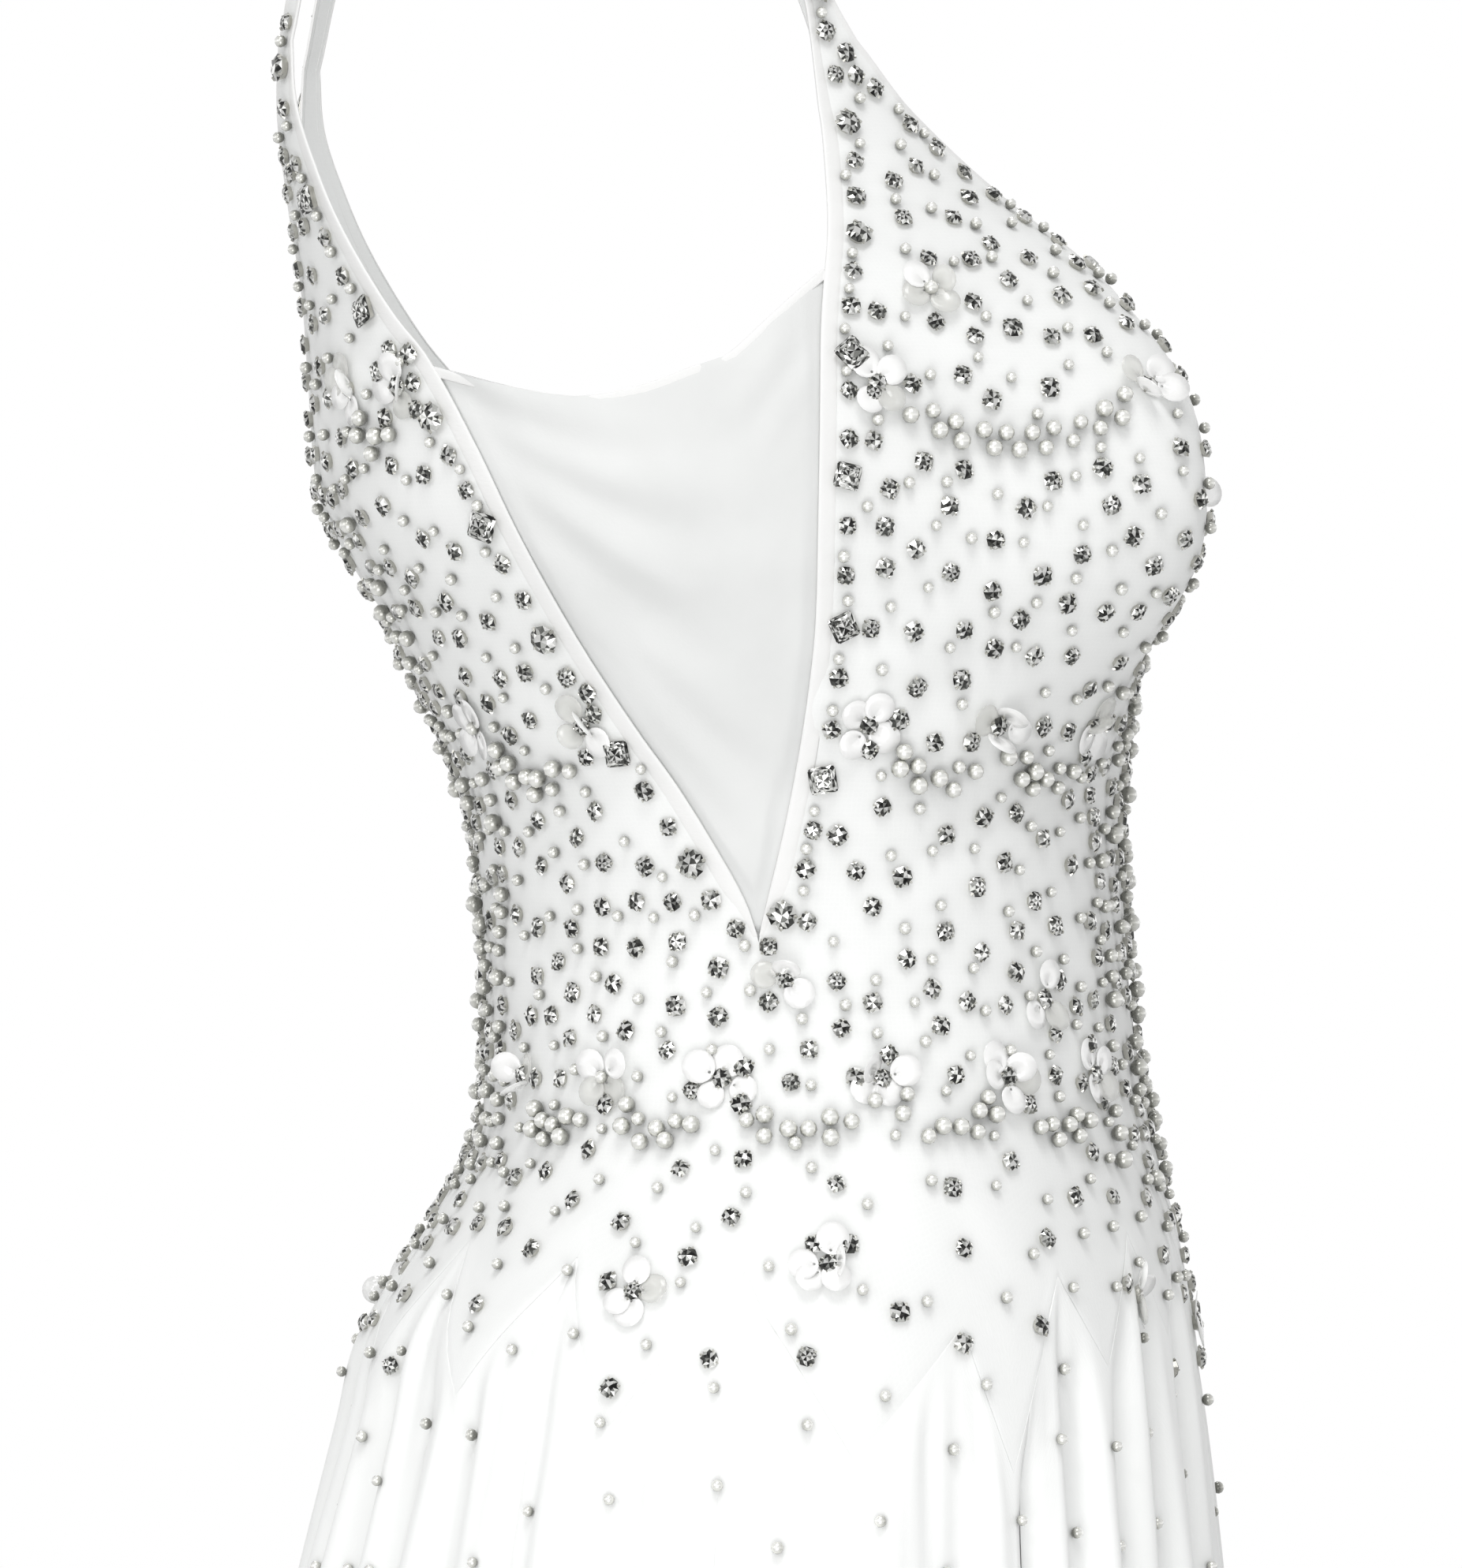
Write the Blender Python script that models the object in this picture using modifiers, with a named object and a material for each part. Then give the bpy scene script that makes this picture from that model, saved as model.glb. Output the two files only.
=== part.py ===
"""White beaded gown with side insets, standing open in its worn form, with no wearer.

Metres, +Z up, +X is the front of the gown and +Y its wearer's left. The origin is midway between the tops of the two
shoulder straps, where the wearer's shoulders hold it. The tables are in millimetres and MM turns them into metres.
"""

import math
from bisect import bisect_right
from functools import lru_cache, partial
from typing import NamedTuple

import bmesh
import bpy
from mathutils import Vector

MM = 0.001

# Cloth walls and the gaps between pieces
WALL = 1.5
BINDING_WALL = 0.8
LAY_GAP = 0.45
INSET_GAP = 0.45
SEAM_GAP = 0.3
POINTS_GAP = 1.5
STRAP_SEAM_SHARE = 0.007

# Heights below the tops of the straps
STRAP_ROOT = -98.0
NECK_FRONT_BOTTOM = -262.0
NECK_BACK_BOTTOM = -285.0
INSET_TIP = -390.0
SKIRT_HEM = -1460.0

# Seam angles round the figure, from the centre front at 0 to the centre back at 180
SIDE_SEAM = 95.0
FRONT_GORE_SEAM = 56.5
BACK_GORE_SEAM = 121.0
CENTRE_BACK = 180.0

# Bust cups, sewn with darts: where each stands out most, and how far it reaches to either side
CUP_HEIGHT = -247.0
CUP_CENTRE = 80.0
CUP_LEAN = 0.17
CUP_TO_CENTRE_FRONT = 76.0
CUP_TO_SIDE = 68.0
CUP_FORWARD = 0.95
CUP_SIDEWAYS = 0.4

# Bindings
ARMHOLE_BINDING = 4.2
STRAP_BINDING = 2.6
NECK_BINDING = 2.2
INSET_BINDING = 2.8
INSET_BINDING_SHORT = 1.2
BINDING_SET_IN = 0.25

CLOTH_WHITE = (0.86, 0.87, 0.88)
BINDING_WHITE = (0.9, 0.9, 0.91)


class Section(NamedTuple):
    """One level section of the gown's outer surface, in millimetres."""

    height: float
    back: float
    side: float
    front: float
    half_front: float
    half_back: float
    round_front: float
    round_back: float
    cup: float


SECTIONS = (
    Section(-95, -92, 38, 141, 99, 128, 2.3, 3.2, 0),
    Section(-120, -92, 44, 148, 104, 133, 2.3, 3.1, 0),
    Section(-150, -87, 50, 160, 116, 138, 2.3, 3.0, 8),
    Section(-180, -81, 56, 170, 134, 143, 2.3, 2.9, 30),
    Section(-212, -78, 62, 177, 148, 148, 2.3, 2.7, 47),
    Section(-247, -74, 68, 180, 151, 151, 2.3, 2.6, 52),
    Section(-269, -63, 70, 183, 150, 150, 2.3, 2.5, 46),
    Section(-285, -53, 72, 187, 147, 147, 2.3, 2.5, 33),
    Section(-300, -46, 74, 191, 145, 145, 2.3, 2.4, 18),
    Section(-318, -37, 77, 194, 141, 141, 2.3, 2.4, 6),
    Section(-348, -25, 82, 192, 135, 135, 2.3, 2.4, 0),
    Section(-390, -20, 86, 193.5, 132, 132, 2.3, 2.3, 0),
    Section(-427, -19.5, 87, 197, 137, 137, 2.3, 2.3, 0),
    Section(-458, -22.4, 86, 202.5, 146, 146, 2.2, 2.2, 0),
    Section(-490, -40, 84, 211, 157, 157, 2.2, 2.2, 0),
    Section(-521, -60, 80, 216.5, 167, 167, 2.2, 2.2, 0),
    Section(-553, -68.5, 78, 221, 175, 175, 2.2, 2.2, 0),
    Section(-602, -82, 76, 226.5, 186, 186, 2.2, 2.2, 0),
    Section(-720, -113, 71, 240, 211, 211, 2.2, 2.2, 0),
    Section(-900, -164, 56, 262, 251, 251, 2.15, 2.15, 0),
    Section(-1150, -244, 30, 294, 308, 308, 2.1, 2.1, 0),
    Section(-1460, -360, -5, 340, 378, 378, 2.1, 2.1, 0),
)


class Edge(NamedTuple):
    """A point of a cut edge: its height and its distance along X or from the centre line."""

    height: float
    reach: float


# Where the armhole edges of the front and back panels lie along X
FRONT_ARMHOLE = (
    Edge(-390, 73.5),
    Edge(-380, 76),
    Edge(-364, 80),
    Edge(-343, 84.5),
    Edge(-316, 89),
    Edge(-290, 92),
    Edge(-250, 93.2),
    Edge(-212, 93.7),
    Edge(-158, 93.7),
    Edge(-130, 93.4),
    Edge(-119, 92.4),
    Edge(-98, 90),
)
BACK_ARMHOLE = (
    Edge(-390, 73),
    Edge(-379, 69),
    Edge(-362, 59.5),
    Edge(-342, 47),
    Edge(-325, 34.7),
    Edge(-303, 20),
    Edge(-283, 8),
    Edge(-260, -4.5),
    Edge(-232, -18),
    Edge(-203, -34),
    Edge(-190, -44.5),
    Edge(-174, -55),
    Edge(-158, -64),
    Edge(-142, -71),
    Edge(-119, -78.5),
    Edge(-98, -80),
)
# How far the neckline edges are from the centre line
NECK_FRONT = (
    Edge(-262, 0),
    Edge(-240, 14),
    Edge(-212, 31),
    Edge(-180, 49),
    Edge(-150, 64),
    Edge(-120, 76),
    Edge(-98, 82),
)
NECK_BACK = (
    Edge(-285, 0),
    Edge(-240, 27),
    Edge(-200, 46),
    Edge(-160, 61),
    Edge(-120, 71),
    Edge(-98, 73.5),
)
# The top of a side inset, by its share of the way from the front edge to the back edge
INSET_TOP = (
    Edge(0.0, -172),
    Edge(0.17, -192),
    Edge(0.33, -208),
    Edge(0.46, -214.5),
    Edge(0.6, -216),
    Edge(0.8, -211.5),
    Edge(1.0, -205.5),
)


class StrapRow(NamedTuple):
    """A strap's outer and inner edge at one place along it, as X, distance from the centre line, and height."""

    outer: tuple
    inner: tuple


STRAP_ROWS = (
    StrapRow((87, 90, -82), (96.5, 84, -83)),
    StrapRow((77, 92, -59), (85, 84.5, -56)),
    StrapRow((58, 94, -34), (63, 84.5, -29)),
    StrapRow((33, 95, -13), (35, 84, -7)),
    StrapRow((3, 95.5, -4.5), (3, 84, 0)),
    StrapRow((-28, 95, -13), (-29, 83, -8)),
    StrapRow((-54, 93, -34), (-57, 81, -30)),
    StrapRow((-71, 90, -60), (-76, 77.5, -58)),
)
SHOULDER_SEAM_ROW = 5
BACK_ROOT_ROW = 9


class HemCorner(NamedTuple):
    """A corner of the beaded panels' pointed lower edge: its angle from the centre front and its height."""

    angle: float
    height: float


HEM_CORNERS = (
    HemCorner(0, -532),
    HemCorner(13.5, -486),
    HemCorner(23, -522),
    HemCorner(32, -488),
    HemCorner(41, -530),
    HemCorner(50, -500),
    HemCorner(59.5, -562),
    HemCorner(66.5, -515),
    HemCorner(81, -557),
    HemCorner(95, -496.5),
    HemCorner(109, -547),
    HemCorner(121, -494),
    HemCorner(134, -539),
    HemCorner(147, -490),
    HemCorner(158, -534),
    HemCorner(169, -488),
    HemCorner(180, -524),
)


class Fold(NamedTuple):
    """A fold's valley: its angle, how deep it is at the hem, and how far on towards the next valley its crest is."""

    valley: float
    depth: float
    crest: float = 0.5


# The folds on the wearer's right, which the left side repeats with some of its valleys a little moved
FOLDS = (
    Fold(0, 34),
    Fold(9.5, 30),
    Fold(19, 36),
    Fold(28.5, 32),
    Fold(38, 38),
    Fold(47, 34),
    Fold(56.5, 40, 0.25),
    Fold(68, 26),
    Fold(81.5, 24),
    Fold(95, 26),
    Fold(108, 28),
    Fold(121, 32),
    Fold(132, 36),
    Fold(142, 38),
    Fold(152, 40, 0.7),
    Fold(161.5, 38),
    Fold(171, 36),
    Fold(180, 38),
)
LEFT_VALLEY_SHIFTS = {19: 1.2, 38: -1.0, 68: 1.4, 81.5: -1.2, 108: 1.5, 132: 1.2, 142: -0.8, 161.5: 0.9}
FOLD_GROWTH = 0.8
FOLD_STEPS = 5

PANEL_HEIGHTS = (
    *(-98, -119, -142, -164, -186, -203, -217, -232, -247, -262),
    *(-273, -285, -300, -318, -340, -364, -378, -390, -426, -462),
)
SKIRT_ROWS = (0.0, 0.03, 0.065, 0.11, 0.18, 0.3, 0.48, 0.72, 1.0)
POINT_ROWS = 3
INSET_SHARES = (0.0, 0.03, 0.15, 0.3, 0.45, 0.6, 0.75, 0.87, 0.97, 1.0)
INSET_TOP_WAYS = (0.0, 0.06, 0.273, 0.54)
INSET_HEIGHTS = (-232, -247, -262, -273, -285, -300, -318, -340, -364, -378, -381)
STRAP_WAYS = (0.0, 0.06, 0.2, 0.36, 0.52, 0.68, 0.84)
STRAP_STEPS = len(STRAP_WAYS)
WIDE_COLUMN = 12
EDGE_COLUMN = 2.0


def smooth_between(table, key, position):
    """A row of numbers read smoothly from table at position, where key(row) rises from row to row."""
    keys = [key(row) for row in table]
    at = min(max(bisect_right(keys, position) - 1, 0), len(table) - 2)
    span = keys[at + 1] - keys[at]
    share = min(max((position - keys[at]) / span, 0.0), 1.0)

    def slope(index, column):
        low = max(index - 1, 0)
        high = min(index + 1, len(table) - 1)
        return (table[high][column] - table[low][column]) / (keys[high] - keys[low])

    found = []
    for column in range(len(table[0])):
        start, end = table[at][column], table[at + 1][column]
        rise = slope(at, column) * span
        fall = slope(at + 1, column) * span
        square, cube = share**2, share**3
        found.append(
            start * (2 * cube - 3 * square + 1)
            + rise * (cube - 2 * square + share)
            + end * (3 * square - 2 * cube)
            + fall * (cube - square)
        )
    return found


def section_at(height):
    """The gown's level section at a height."""
    return Section(*smooth_between(SECTIONS[::-1], lambda row: row.height, height))


def edge_reach(edge, height):
    """How far a cut edge reaches at a height."""
    rising = sorted(edge)
    return smooth_between(rising, lambda row: row.height, height)[1]


def hem_height(angle):
    """The height of the beaded panels' pointed lower edge, straight from corner to corner."""
    corners = [corner.angle for corner in HEM_CORNERS]
    at = min(max(bisect_right(corners, abs(angle)) - 1, 0), len(corners) - 2)
    start, end = HEM_CORNERS[at], HEM_CORNERS[at + 1]
    share = (abs(angle) - start.angle) / (end.angle - start.angle)
    return start.height + share * (end.height - start.height)


def folds_of(angle):
    """The folds on the side of the gown where angle is."""
    if angle >= 0:
        return FOLDS
    return tuple(fold._replace(valley=fold.valley + LEFT_VALLEY_SHIFTS.get(fold.valley, 0.0)) for fold in FOLDS)


def fold_offset(angle, height):
    """How far the cloth lies inside its crests, in millimetres."""
    start = hem_height(angle)
    if height >= start:
        return 0.0
    folds = folds_of(angle)
    valleys = [fold.valley for fold in folds]
    at = min(max(bisect_right(valleys, abs(angle)) - 1, 0), len(valleys) - 2)
    fold, after = folds[at], folds[at + 1]
    share = (abs(angle) - fold.valley) / (after.valley - fold.valley)
    if share < fold.crest:
        depth, from_crest = fold.depth, 1 - share / fold.crest
    else:
        depth, from_crest = after.depth, (share - fold.crest) / (1 - fold.crest)
    growth = ((start - height) / (start - SKIRT_HEM)) ** FOLD_GROWTH
    return -depth * growth * (0.5 - 0.5 * math.cos(math.pi * from_crest))


def cup_lift(reach, height, cup):
    """How far a bust cup stands out, at a distance from the centre line."""
    centre = CUP_CENTRE + CUP_LEAN * min(CUP_HEIGHT - height, 0.0)
    aside = reach - centre
    most = CUP_TO_SIDE if aside > 0 else CUP_TO_CENTRE_FRONT
    if abs(aside) >= most:
        return 0.0
    return cup * math.cos(math.pi / 2 * aside / most) ** 2


def within_half_turn(angle):
    """The same angle between -180 and 180."""
    return (angle + 180) % 360 - 180 if abs(angle) > 180 else angle


def section_point(section, angle):
    """X and Y of a section's outline at an angle, in millimetres, with the right side at negative Y."""
    angle = within_half_turn(angle)
    turn = math.radians(abs(angle))
    along, across = math.cos(turn), abs(math.sin(turn))
    forward = along >= 0
    power = 2 / (section.round_front if forward else section.round_back)
    depth = section.front - section.side if forward else section.side - section.back
    half = section.half_front if forward else section.half_back
    x = section.side + math.copysign(depth * abs(along) ** power, along)
    reach = half * across**power
    if forward and section.cup > 0:
        lift = cup_lift(reach, section.height, section.cup)
        x += CUP_FORWARD * lift
        reach += CUP_SIDEWAYS * lift
    return Vector((x, -math.copysign(reach, angle) if angle else -reach, 0.0))


def surface_point(angle, height):
    """A point of the gown's outer surface, in millimetres."""
    section = section_at(height)
    point = section_point(section, angle)
    inward = fold_offset(within_half_turn(angle), height)
    if inward:
        step = 0.5
        ahead = section_point(section, angle + step) - section_point(section, angle - step)
        outward = Vector((-ahead.y, ahead.x, 0.0)).normalized()
        point += outward * inward
    return Vector((point.x, point.y, height))


def angle_at_x(x, height):
    """The angle where the section at a height reaches x, with no cup."""
    section = section_at(height)
    forward = x >= section.side
    depth = section.front - section.side if forward else section.side - section.back
    power = (section.round_front if forward else section.round_back) / 2
    along = min(abs(x - section.side) / depth, 1.0) ** power
    turn = math.degrees(math.acos(along))
    return turn if forward else 180 - turn


def angle_at_reach(reach, height, forward):
    """The angle where the section at a height is that far from the centre line, at the front or at the back."""
    section = section_at(height)
    half = section.half_front if forward else section.half_back
    power = (section.round_front if forward else section.round_back) / 2
    turn = math.degrees(math.asin(min((reach / half) ** power, 1.0)))
    return turn if forward else 180 - turn


def front_armhole_angle(height):
    """The angle of the front panel's outer edge."""
    if height <= INSET_TIP:
        return SIDE_SEAM
    return min(angle_at_x(edge_reach(FRONT_ARMHOLE, height), height), SIDE_SEAM)


def back_armhole_angle(height):
    """The angle of the back panel's outer edge."""
    if height <= INSET_TIP:
        return SIDE_SEAM
    return max(angle_at_x(edge_reach(BACK_ARMHOLE, height), height), SIDE_SEAM)


def front_neck_angle(height):
    """The angle of the front neckline, or 0 below it."""
    if height <= NECK_FRONT_BOTTOM:
        return 0.0
    return angle_at_reach(max(edge_reach(NECK_FRONT, height), 0.0), height, True)


def back_neck_angle(height):
    """The angle of the back neckline, or 180 below it."""
    if height <= NECK_BACK_BOTTOM:
        return CENTRE_BACK
    return angle_at_reach(max(edge_reach(NECK_BACK, height), 0.0), height, False)


def shifted(angle, height, along):
    """The angle moved by a length in millimetres round the section."""
    step = 0.5
    chord = (surface_point(angle + step, height) - surface_point(angle - step, height)).length
    return angle + along / chord * 2 * step


def strap_row(position, out=0.0):
    """The outer and inner edge of the right strap at a position counted in rows from the front root."""
    rows = [root_row(True), *STRAP_ROWS, root_row(False)]
    flat = [(index, *row.outer, *row.inner) for index, row in enumerate(rows)]
    found = smooth_between(flat, lambda row: row[0], position)
    nearby = 0.05
    later = smooth_between(flat, lambda row: row[0], min(position + nearby, len(rows) - 1))
    earlier = smooth_between(flat, lambda row: row[0], max(position - nearby, 0))
    outer = Vector((found[1], -found[2], found[3]))
    inner = Vector((found[4], -found[5], found[6]))
    ahead = Vector((later[1] - earlier[1], -(later[2] - earlier[2]), later[3] - earlier[3]))
    normal = ahead.cross(outer - inner).normalized()
    return outer + normal * out, inner + normal * out


def root_row(forward):
    """Where the strap leaves the front or back panel."""
    if forward:
        angles = front_armhole_angle(STRAP_ROOT), front_neck_angle(STRAP_ROOT)
    else:
        angles = back_armhole_angle(STRAP_ROOT), back_neck_angle(STRAP_ROOT)
    points = [surface_point(angle, STRAP_ROOT) for angle in angles]
    return StrapRow(*[(point.x, -point.y, point.z) for point in points])


def mirrored(point, side):
    """The point, or its mirror image for the wearer's left."""
    return Vector((point.x, point.y * side, point.z)) * MM


def cloth(name, columns, rows, place, material, wall=WALL, outward=False, side=1):
    """A piece of cloth, columns by rows cells with each corner put by place(column, row), given its wall."""
    grid = bmesh.new()
    bmesh.ops.create_grid(grid, x_segments=columns, y_segments=rows, size=0.5)
    for vert in grid.verts:
        column = round((vert.co.x + 0.5) * columns)
        row = round((0.5 - vert.co.y) * rows)
        vert.co = mirrored(place(column, row), side)
    if side > 0:
        bmesh.ops.reverse_faces(grid, faces=grid.faces)
    mesh = bpy.data.meshes.new(name)
    grid.to_mesh(mesh)
    grid.free()
    mesh.shade_smooth()
    mesh.materials.append(material)
    piece = bpy.data.objects.new(name, mesh)
    GOWN.objects.link(piece)
    solid = piece.modifiers.new("Wall", "SOLIDIFY")
    solid.thickness = wall * MM
    solid.offset = 1.0 if outward else -1.0
    return piece


def between(start, end, share):
    """The number a share of the way from start to end."""
    return start + (end - start) * share


def panel_shares(low, high):
    """The shares across a panel where its lower edge has corners, and midway between the wider ones."""
    angles = [corner.angle for corner in HEM_CORNERS if low <= corner.angle <= high]
    middles = [(start + end) / 2 for start, end in zip(angles, angles[1:]) if end - start > WIDE_COLUMN]
    beside_edges = [low + EDGE_COLUMN, high - EDGE_COLUMN]
    return [(angle - low) / (high - low) for angle in sorted([*angles, *middles, *beside_edges])]


def panel_edges(forward, height):
    """The angles of a panel's first and last column, from the front towards the back."""
    half = SEAM_GAP / 2
    if forward:
        inner, outer = front_neck_angle(height), front_armhole_angle(height)
        if height <= NECK_FRONT_BOTTOM:
            inner = shifted(inner, height, half)
        return inner, shifted(outer, height, -half)
    outer, inner = back_armhole_angle(height), back_neck_angle(height)
    if height <= NECK_BACK_BOTTOM:
        inner = shifted(inner, height, -half)
    return shifted(outer, height, half), inner


@lru_cache(maxsize=None)
def panel_point(forward, column, row):
    """A point of a right panel: its strap rows come first, then the body, then the rows down to its points."""
    share = PANEL_SHARES[forward][column]
    if row < STRAP_STEPS:
        way = STRAP_WAYS[row]
        if forward:
            outer, inner = strap_row(between(SHOULDER_SEAM_ROW - STRAP_SEAM_SHARE, 0, way))
            return inner.lerp(outer, share)
        outer, inner = strap_row(between(SHOULDER_SEAM_ROW + STRAP_SEAM_SHARE, BACK_ROOT_ROW, way))
        return outer.lerp(inner, share)
    row -= STRAP_STEPS
    if row < len(PANEL_HEIGHTS):
        height = PANEL_HEIGHTS[row]
        return surface_point(between(*panel_edges(forward, height), share), height)
    low, high = (0.0, SIDE_SEAM) if forward else (SIDE_SEAM, CENTRE_BACK)
    lowest = hem_height(between(low, high, share)) + POINTS_GAP / 2
    height = between(PANEL_HEIGHTS[-1], lowest, (row - len(PANEL_HEIGHTS) + 1) / POINT_ROWS)
    return surface_point(between(*panel_edges(forward, height), share), height)


def beaded_panel(forward, side):
    """A front or back panel with its half of the strap."""
    name = f"{'front' if forward else 'back'}_panel_{SIDE_WORDS[side]}"
    rows = STRAP_STEPS + len(PANEL_HEIGHTS) - 1 + POINT_ROWS
    return cloth(name, len(PANEL_SHARES[forward]) - 1, rows, partial(panel_point, forward), BEADED, side=side)


def edge_point(forward, height, off):
    """The point at a height on a panel's armhole edge, moved off it into the panel, or away from it below zero."""
    last = len(PANEL_SHARES[forward]) - 1
    edge, beside = (last, last - 1) if forward else (0, 1)
    at = min(max(sum(level > height for level in PANEL_HEIGHTS) - 1, 0), len(PANEL_HEIGHTS) - 2)
    share = (PANEL_HEIGHTS[at] - height) / (PANEL_HEIGHTS[at] - PANEL_HEIGHTS[at + 1])
    row = STRAP_STEPS + at
    point = panel_point(forward, edge, row).lerp(panel_point(forward, edge, row + 1), share)
    inner = panel_point(forward, beside, row).lerp(panel_point(forward, beside, row + 1), share)
    return point + (inner - point).normalized() * off


def inset_point(column, row):
    """A point of the right inset, whose front and back edges follow the panels' own edges."""
    across = INSET_SHARES[column]
    top = smooth_between(INSET_TOP, lambda edge: edge.height, across)[1]
    upper = [between(top, INSET_HEIGHTS[0], way) for way in INSET_TOP_WAYS]
    height = (*upper, *INSET_HEIGHTS)[row]
    if across in (0.0, 1.0):
        return edge_point(column == 0, height, -INSET_GAP)
    low = shifted(front_armhole_angle(height), height, INSET_GAP)
    high = shifted(back_armhole_angle(height), height, -INSET_GAP)
    return surface_point(between(low, high, across), height)


def side_inset(side):
    """The plain cloth set into the side, a long triangle with a hollowed top edge."""
    rows = len(INSET_TOP_WAYS) + len(INSET_HEIGHTS) - 1
    return cloth(f"side_inset_{SIDE_WORDS[side]}", len(INSET_SHARES) - 1, rows, inset_point, PLAIN, side=side)


def strip_point(edge, inner, before, after, off, out):
    """A point off the edge towards inner, and moved out from the cloth that runs from before to after."""
    across = (inner - edge).normalized()
    outward = (after - before).cross(across).normalized()
    return edge + across * off + outward * out


def inset_binding(side):
    """The narrow rolled hem along the top of a side inset."""
    last = len(INSET_SHARES) - 1

    def place(column, row):
        edge, inner = inset_point(column, 0), inset_point(column, 1)
        before, after = inset_point(max(column - 1, 0), 0), inset_point(min(column + 1, last), 0)
        end = {0: 1, last: -1}.get(column, 0)
        clear = (after - before).normalized() * end * INSET_BINDING_SHORT
        return strip_point(edge, inner, before, after, row * INSET_BINDING, LAY_GAP) + clear

    name = f"inset_binding_{SIDE_WORDS[side]}"
    return cloth(name, last, 1, place, BINDING, BINDING_WALL, True, side)


def edge_binding(armhole, side):
    """The binding of an armhole or neckline edge: up the front panel, over the strap and down the back panel."""
    wide = ARMHOLE_BINDING if armhole else NECK_BINDING
    lowest_front = INSET_TIP if armhole else NECK_FRONT_BOTTOM
    lowest_back = INSET_TIP if armhole else NECK_BACK_BOTTOM
    front_rows = STRAP_STEPS + sum(height >= lowest_front for height in PANEL_HEIGHTS)
    back_rows = STRAP_STEPS + sum(height >= lowest_back for height in PANEL_HEIGHTS)
    path = [(True, row) for row in range(front_rows - 1, -1, -1)]
    path += [(False, row) for row in range(1, back_rows)]

    def place(column, row):
        forward, at = path[column]
        last = len(PANEL_SHARES[forward]) - 1
        edge, beside = (0, 1) if forward != armhole else (last, last - 1)
        point, inner = panel_point(forward, edge, at), panel_point(forward, beside, at)
        before, after = panel_point(forward, edge, max(at - 1, 0)), panel_point(forward, edge, at + 1)
        if forward != armhole:
            before, after = after, before
        share = min(max((at - STRAP_STEPS) / 2, 0.0), 1.0)
        off = BINDING_SET_IN + row * between(STRAP_BINDING, wide, share)
        return strip_point(point, inner, before, after, off, LAY_GAP)

    name = f"{'armhole' if armhole else 'neckline'}_binding_{SIDE_WORDS[side]}"
    piece = cloth(name, len(path) - 1, 1, place, BINDING, BINDING_WALL, True, side)
    if armhole:
        piece.data.flip_normals()
    return piece


def gore_angles(low, high):
    """The angles of a gore's columns: every corner of the points above it, and even steps within each fold."""
    kept = {sign * corner.angle for corner in HEM_CORNERS for sign in (1, -1) if low < sign * corner.angle < high}
    kept |= {low, high}
    least = 1.0
    for sign in (1, -1):
        folds = folds_of(sign)
        for fold, after in zip(folds, folds[1:]):
            for step in range(FOLD_STEPS):
                angle = sign * between(fold.valley, after.valley, step / FOLD_STEPS)
                if low < angle < high and all(abs(angle - other) > least for other in kept):
                    kept.add(angle)
    return sorted(kept)


def skirt_gore(name, low, high):
    """A gore of the skirt between two seam angles, from the beaded panels' points down to the hem."""
    angles = gore_angles(low, high)
    last = len(angles) - 1

    def place(column, row):
        angle = angles[column]
        height = between(hem_height(angle) - POINTS_GAP / 2, SKIRT_HEM, SKIRT_ROWS[row])
        if column in (0, last):
            angle = shifted(angle, height, SEAM_GAP / 2 if column == 0 else -SEAM_GAP / 2)
        return surface_point(angle, height)

    return cloth(name, last, len(SKIRT_ROWS) - 1, place, CHIFFON)


def principled(name, colour, roughness, sheen):
    """A plain material in a part's colour."""
    made = bpy.data.materials.new(name)
    made.use_nodes = True
    shader = made.node_tree.nodes["Principled BSDF"]
    shader.inputs["Base Color"].default_value = (*colour, 1.0)
    shader.inputs["Roughness"].default_value = roughness
    shader.inputs["Sheen Weight"].default_value = sheen
    return made


for old in list(bpy.data.objects):
    bpy.data.objects.remove(old)

GOWN = bpy.data.collections.new("beaded_gown")
bpy.context.scene.collection.children.link(GOWN)
SIDE_WORDS = {1: "right", -1: "left"}
PANEL_SHARES = {True: panel_shares(0, SIDE_SEAM), False: panel_shares(SIDE_SEAM, CENTRE_BACK)}

BEADED = principled("beaded_tulle", CLOTH_WHITE, 0.7, 0.2)
PLAIN = principled("plain_crepe", CLOTH_WHITE, 0.6, 0.2)
CHIFFON = principled("chiffon", CLOTH_WHITE, 0.8, 0.3)
BINDING = principled("satin_binding", BINDING_WHITE, 0.45, 0.1)

for wearer_side in (1, -1):
    beaded_panel(forward=True, side=wearer_side)
    edge_binding(armhole=True, side=wearer_side)
    beaded_panel(forward=False, side=wearer_side)
    edge_binding(armhole=False, side=wearer_side)
    side_inset(wearer_side)
    inset_binding(wearer_side)

skirt_gore("skirt_front", -FRONT_GORE_SEAM, FRONT_GORE_SEAM)
for sign, word in ((1, "right"), (-1, "left")):
    for gore, low, high in (
        ("side_front", FRONT_GORE_SEAM, SIDE_SEAM),
        ("side_back", SIDE_SEAM, BACK_GORE_SEAM),
        ("back", BACK_GORE_SEAM, CENTRE_BACK),
    ):
        skirt_gore(f"skirt_{gore}_{word}", *sorted((sign * low, sign * high)))
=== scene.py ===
"""Looks of a white beaded evening gown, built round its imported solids.

Sizes in the tables are millimetres and MM turns them into metres. +X is the gown's front, +Y its wearer's
left and +Z is up. The photographed side is -Y. Swags, flowers and single beads stand where this file's own
rules put them.
"""

import logging
import math
import random
from bisect import bisect_right
from collections.abc import Callable, Iterable, Mapping, Sequence
from dataclasses import dataclass, field
from enum import Enum
from functools import lru_cache
from itertools import product
from typing import Any, NamedTuple

import bmesh
import bpy
from mathutils import Matrix, Vector
from mathutils.bvhtree import BVHTree


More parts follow.
